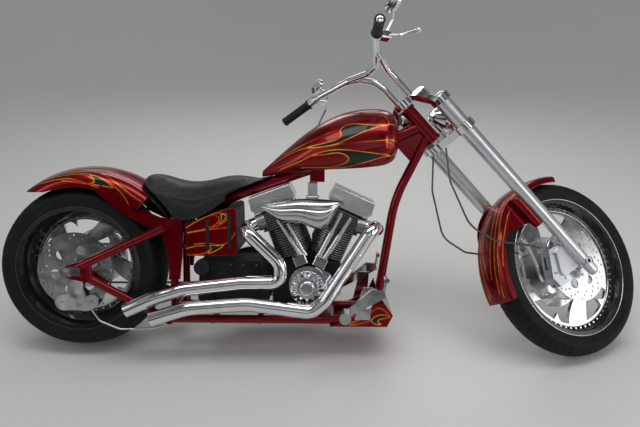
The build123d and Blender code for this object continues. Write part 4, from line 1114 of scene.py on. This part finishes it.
leather = Finish("seat_leather", (0.012, 0.013, 0.014), Coat_Weight=0.06, Coat_Roughness=0.22,
                 Specular_IOR_Level=0.25)
grain = leather.node("ShaderNodeTexVoronoi", {"feature": "DISTANCE_TO_EDGE"},
                     Vector=leather.place(), Scale=420.0)
creases = leather.noise(26.0, detail=4.0, rough=0.6)
worn = leather.noise(7.0).step(0.42, 0.72)
leather.set(Base_Color=leather.mix(worn * 0.6 + creases * 0.2, (0.008, 0.009, 0.0095),
                                   (0.019, 0.021, 0.022)),
            Roughness=creases * 0.16 + worn * -0.06 + 0.36)
leather.bump(grain.step(0.0, 0.10) * 0.5 + creases * 1.4, 0.00035)
wear(leather, pad)
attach(pad, "frame")
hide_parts("seat")
pad.data.shade_smooth()
print("seat faces", len(pad.data.polygons))

# %% [markdown]
# The studio is a pale floor under soft lamps. A big lamp overhead and one on each side give the
# chrome long highlights. What bright metal reflects of the world is a room of light and dark
# bands, broken up by clouds, because chrome only looks bright next to something dark. Everything
# else sees a plain sky.

# %% Studio
FLOOR = (0.66, 0.65, 0.63)
FLOOR_HALF = 40
SKY = (0.74, 0.76, 0.78)
SKY_STRENGTH = 0.52
ROOM = (
    # height of the ray, brightness
    (0.0, 0.55), (0.06, 0.22), (0.12, 0.05), (0.19, 0.10), (0.26, 0.62), (0.40, 0.50),
    (0.62, 0.16), (1.0, 0.50),
)


def lamp(name, size, place, aim, watts):
    """A soft rectangle of light, aimed at a point."""
    light = bpy.data.lights.new("lamp_" + name, "AREA")
    light.shape = "RECTANGLE"
    light.size, light.size_y = size
    light.energy = watts
    lit = put("lamp_" + name, light)
    lit.location = place
    lit.rotation_euler = (Vector(aim) - Vector(place)).to_track_quat("-Z", "Y").to_euler()


lamp("above", (3.4, 0.9), (0.1, -0.7, 2.9), (0, 0, 0.3), 32)
lamp("front", (0.8, 2.4), (3.0, -2.6, 1.8), (0.5, 0, 0.5), 20)
lamp("window", (2.6, 1.5), (4.0, -0.9, 0.85), (1.0, 0, 0.35), 18)
lamp("rear", (0.6, 2.4), (-3.2, -2.2, 1.8), (-0.5, 0, 0.5), 12)
lamp("far", (3.0, 1.0), (0, 3.0, 2.6), (0, 0, 0.6), 32)

bm = bmesh.new()
bmesh.ops.create_grid(bm, x_segments=1, y_segments=1, size=FLOOR_HALF)
mesh = bpy.data.meshes.new("floor")
bm.to_mesh(mesh)
bm.free()
floor = put("floor", mesh)
ground = Finish("floor", FLOOR, Roughness=0.6)
patches = ground.noise(1.2, detail=3.0)
ground.set(Base_Color=ground.mix(patches, tuple(0.96 * c for c in FLOOR), FLOOR))
wear(ground, floor)

world = bpy.data.worlds.new("studio")
bpy.context.scene.world = world
world.use_nodes = True
tree = world.node_tree
background = tree.nodes["Background"]
background.inputs["Strength"].default_value = SKY_STRENGTH
kinds = "LightPath TexCoord SeparateXYZ ValToRGB TexNoise MapRange VectorMath Mix"
seen, toward, height, bands, clouds, swing, broken, either = (
    tree.nodes.new("ShaderNode" + kind) for kind in kinds.split())
while len(bands.color_ramp.elements) < len(ROOM):
    bands.color_ramp.elements.new(0.5)
for stop, (spot, shade) in zip(bands.color_ramp.elements, ROOM):
    stop.position = spot
    stop.color = (shade, shade * 1.01, shade * 1.03, 1)
clouds.inputs["Scale"].default_value = 2.6
clouds.inputs["Detail"].default_value = 1.0
for k, value in enumerate((0.38, 0.62, 0.25, 2.4)):
    swing.inputs[k + 1].default_value = value
broken.operation = "SCALE"
either.data_type = "RGBA"
either.inputs[6].default_value = (*SKY, 1)
for source, out, target, socket in (
    (toward, "Generated", height, 0),
    (height, "Z", bands, 0),
    (toward, "Generated", clouds, "Vector"),
    (clouds, 0, swing, 0),
    (bands, 0, broken, 0),
    (swing, 0, broken, "Scale"),
    (seen, "Is Glossy Ray", either, 0),
    (broken, 0, either, 7),
    (either, 2, background, "Color"),
):
    tree.links.new(source.outputs[out], target.inputs[socket])
bpy.context.scene.view_settings.view_transform = "Standard"
